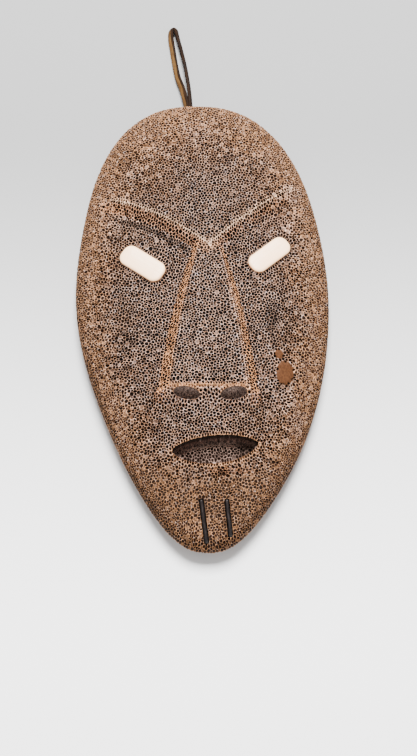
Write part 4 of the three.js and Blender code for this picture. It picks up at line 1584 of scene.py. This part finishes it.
# %% Baleen finish
BALEEN_DARK = (0.003, 0.002, 0.002, 1)
BALEEN_HIGHLIGHT_GREY = (0.03, 0.023, 0.022, 1)

baleen = new_paint("baleen")
lines = baleen.streaks(baleen.place, stretch=(1.0, 0.07, 0.6), size=0.28, seed=8.0)
cloud = baleen.cloud(size=2.5, contrast=2.0, seed=9.0)
# Grey fibres and a painted highlight along the middle of each blade's top; its sides stay dark
middle = baleen.step(baleen.read("side"), 0.7, 0.1)
pale = baleen.times(baleen.times(lines, cloud), middle)
grey_and_highlight = baleen.plus(baleen.times(pale, 0.8), baleen.times(middle, 0.25))
colour = baleen.mix(grey_and_highlight, BALEEN_DARK, BALEEN_HIGHLIGHT_GREY)
roughness = baleen.step(lines, 0.0, 1.0, 0.32, 0.55)
baleen.finish(colour, roughness, specular=0.12, height=lines, strength=0.6, distance=0.00008)

# %% [markdown]
# ## Rawhide
#
# Rawhide dries hard and glassy. Its outer face is tan, with fibres along the thong; its cut edges and
# its inner face have gone nearly black with age and grease, and the fold at the top is the darkest.

# %% Rawhide finish
HIDE_TAN = (0.16, 0.085, 0.028, 1)
HIDE_BROWN = (0.07, 0.03, 0.011, 1)
HIDE_DARK = (0.006, 0.0035, 0.0025, 1)
# Shares of the way along the thong, and how tan its outer face is there
TAN_AT = [0.06, 0.12, 0.34, 0.42, 0.47]
TAN_SHARE = [0.1, 1, 1, 0.5, 0]

ring_share = np.linspace(0, 1, len(loop_route))
store(thong, "along", np.repeat(ring_share * loop_length, SECTION_POINTS))
store(thong, "across", np.tile(section_across, len(loop_route)))
store(thong, "outer_side", np.tile(section_through / THONG_THICKNESS + 0.5, len(loop_route)))
store(thong, "tanned", np.repeat(np.interp(ring_share, TAN_AT, TAN_SHARE), SECTION_POINTS))

hide = new_paint("rawhide")
lines = hide.streaks(hide.own_coordinates(), stretch=(0.1, 1.0, 1.0), size=0.35, seed=10.0)
cloud = hide.cloud(size=2.2, contrast=2.4, seed=11.0)
outer = hide.step(hide.plus(hide.read("outer_side"), hide.times(cloud, 0.1)), 0.86, 1.0)
uncut = hide.step(hide.plus(hide.read("across"), hide.times(lines, 0.5)), 1.35, 0.65)
outer = hide.times(hide.times(outer, uncut), hide.read("tanned"))
tan = hide.mix(hide.times(lines, 0.85), HIDE_TAN, HIDE_BROWN)
tan = hide.mix(hide.step(cloud, 0.55, 0.9, 0.0, 0.5), tan, HIDE_BROWN)
dark = hide.mix(hide.times(cloud, 0.14), HIDE_DARK, HIDE_BROWN)
roughness = hide.step(hide.plus(cloud, lines), 0.0, 2.0, 0.5, 0.75)
height = hide.plus(lines, hide.grit(0.4))
colour = hide.mix(outer, dark, tan)
hide.finish(colour, roughness, specular=0.04, height=height, strength=0.5, distance=0.0001)

# %% [markdown]
# ## Table and light
#
# The mask lies on a plain pale table, whose colour is painted darker beyond the crown and brighter
# towards the viewer, a painted fall of light as in the picture. The light is a studio's: a soft lamp
# above and beyond the crown, and a bright room all round, so that shadows stay short and pale.

# %% Table
TABLE_FAR_SHADE = (0.27, 0.27, 0.27, 1)
TABLE_NEAR_LIGHT = (0.92, 0.915, 0.915, 1)
FAR_Y = 80.0
NEAR_Y = -125.0
TABLE_HALF = 2.0
TABLE_TOP = -0.0001

table_paint = new_paint("table")
toward_viewer = table_paint.put("ShaderNodeSeparateXYZ", {"Vector": table_paint.place})["Y"]
# Painted fall of light: the table's colour goes from dark beyond the crown to light near the viewer
shade = table_paint.mix(table_paint.step(toward_viewer, FAR_Y, NEAR_Y), TABLE_FAR_SHADE, TABLE_NEAR_LIGHT)
table_paint.finish(shade, roughness=0.9, specular=0.1)
corners = [(side_x * TABLE_HALF, side_y * TABLE_HALF, TABLE_TOP)
           for side_x, side_y in [(-1, -1), (1, -1), (1, 1), (-1, 1)]]
table = mesh_piece("table", corners, [(0, 1, 2, 3)])
table.data.materials.append(table_paint.material)
print("table", 2 * TABLE_HALF, "m wide")

# %% Lights
ROOM_COLOUR = (1.0, 1.0, 1.0, 1)
ROOM_STRENGTH = 0.85
LAMP_PLACE = Vector((0.02, 0.55, 0.95))
LAMP_SIZE = 0.4
LAMP_WATTS = 65.0

room = bpy.data.worlds.new("room")
room.use_nodes = True
background = room.node_tree.nodes["Background"]
background.inputs["Color"].default_value = ROOM_COLOUR
background.inputs["Strength"].default_value = ROOM_STRENGTH
bpy.context.scene.world = room
lamp_data = bpy.data.lights.new("lamp", "AREA")
lamp_data.energy = LAMP_WATTS
lamp_data.size = LAMP_SIZE
lamp = bpy.data.objects.new("lamp", lamp_data)
lamp.location = LAMP_PLACE
lamp.rotation_euler = LAMP_PLACE.to_track_quat("Z", "Y").to_euler()
bpy.context.scene.collection.objects.link(lamp)
print("lamp of", LAMP_WATTS, "W")

# %% [markdown]
# ## Pieces
#
# Every piece is listed with the solid it stands for, the slot of its stuff and its paint. Each piece gets
# its paint's material if it has none and hangs from the root body, and the solid it stands for is hidden.
# The thong's rings are gathered in metres.

# %% Pieces, their solids and slots, and the thong's rings
PIECES = [
    (pillow, "mask_body", "bone", bone),
    (eyes[0], "left_eye", "ivory", ivory),
    (eyes[1], "right_eye", "ivory", ivory),
    (blades[0], "left_chin_inlay", "baleen", baleen),
    (blades[1], "right_chin_inlay", "baleen", baleen),
    (thong, "hanging_loop", "hide", hide),
]

for piece, node, slot, paint in PIECES:
    # The bone has had its material since its pores were drilled
    if not piece.data.materials:
        piece.data.materials.append(paint.material)
    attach(piece, BODY)
    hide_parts(node)
rings = [tuple(point) for point in to_frame(loop_route)]
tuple(rings[0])
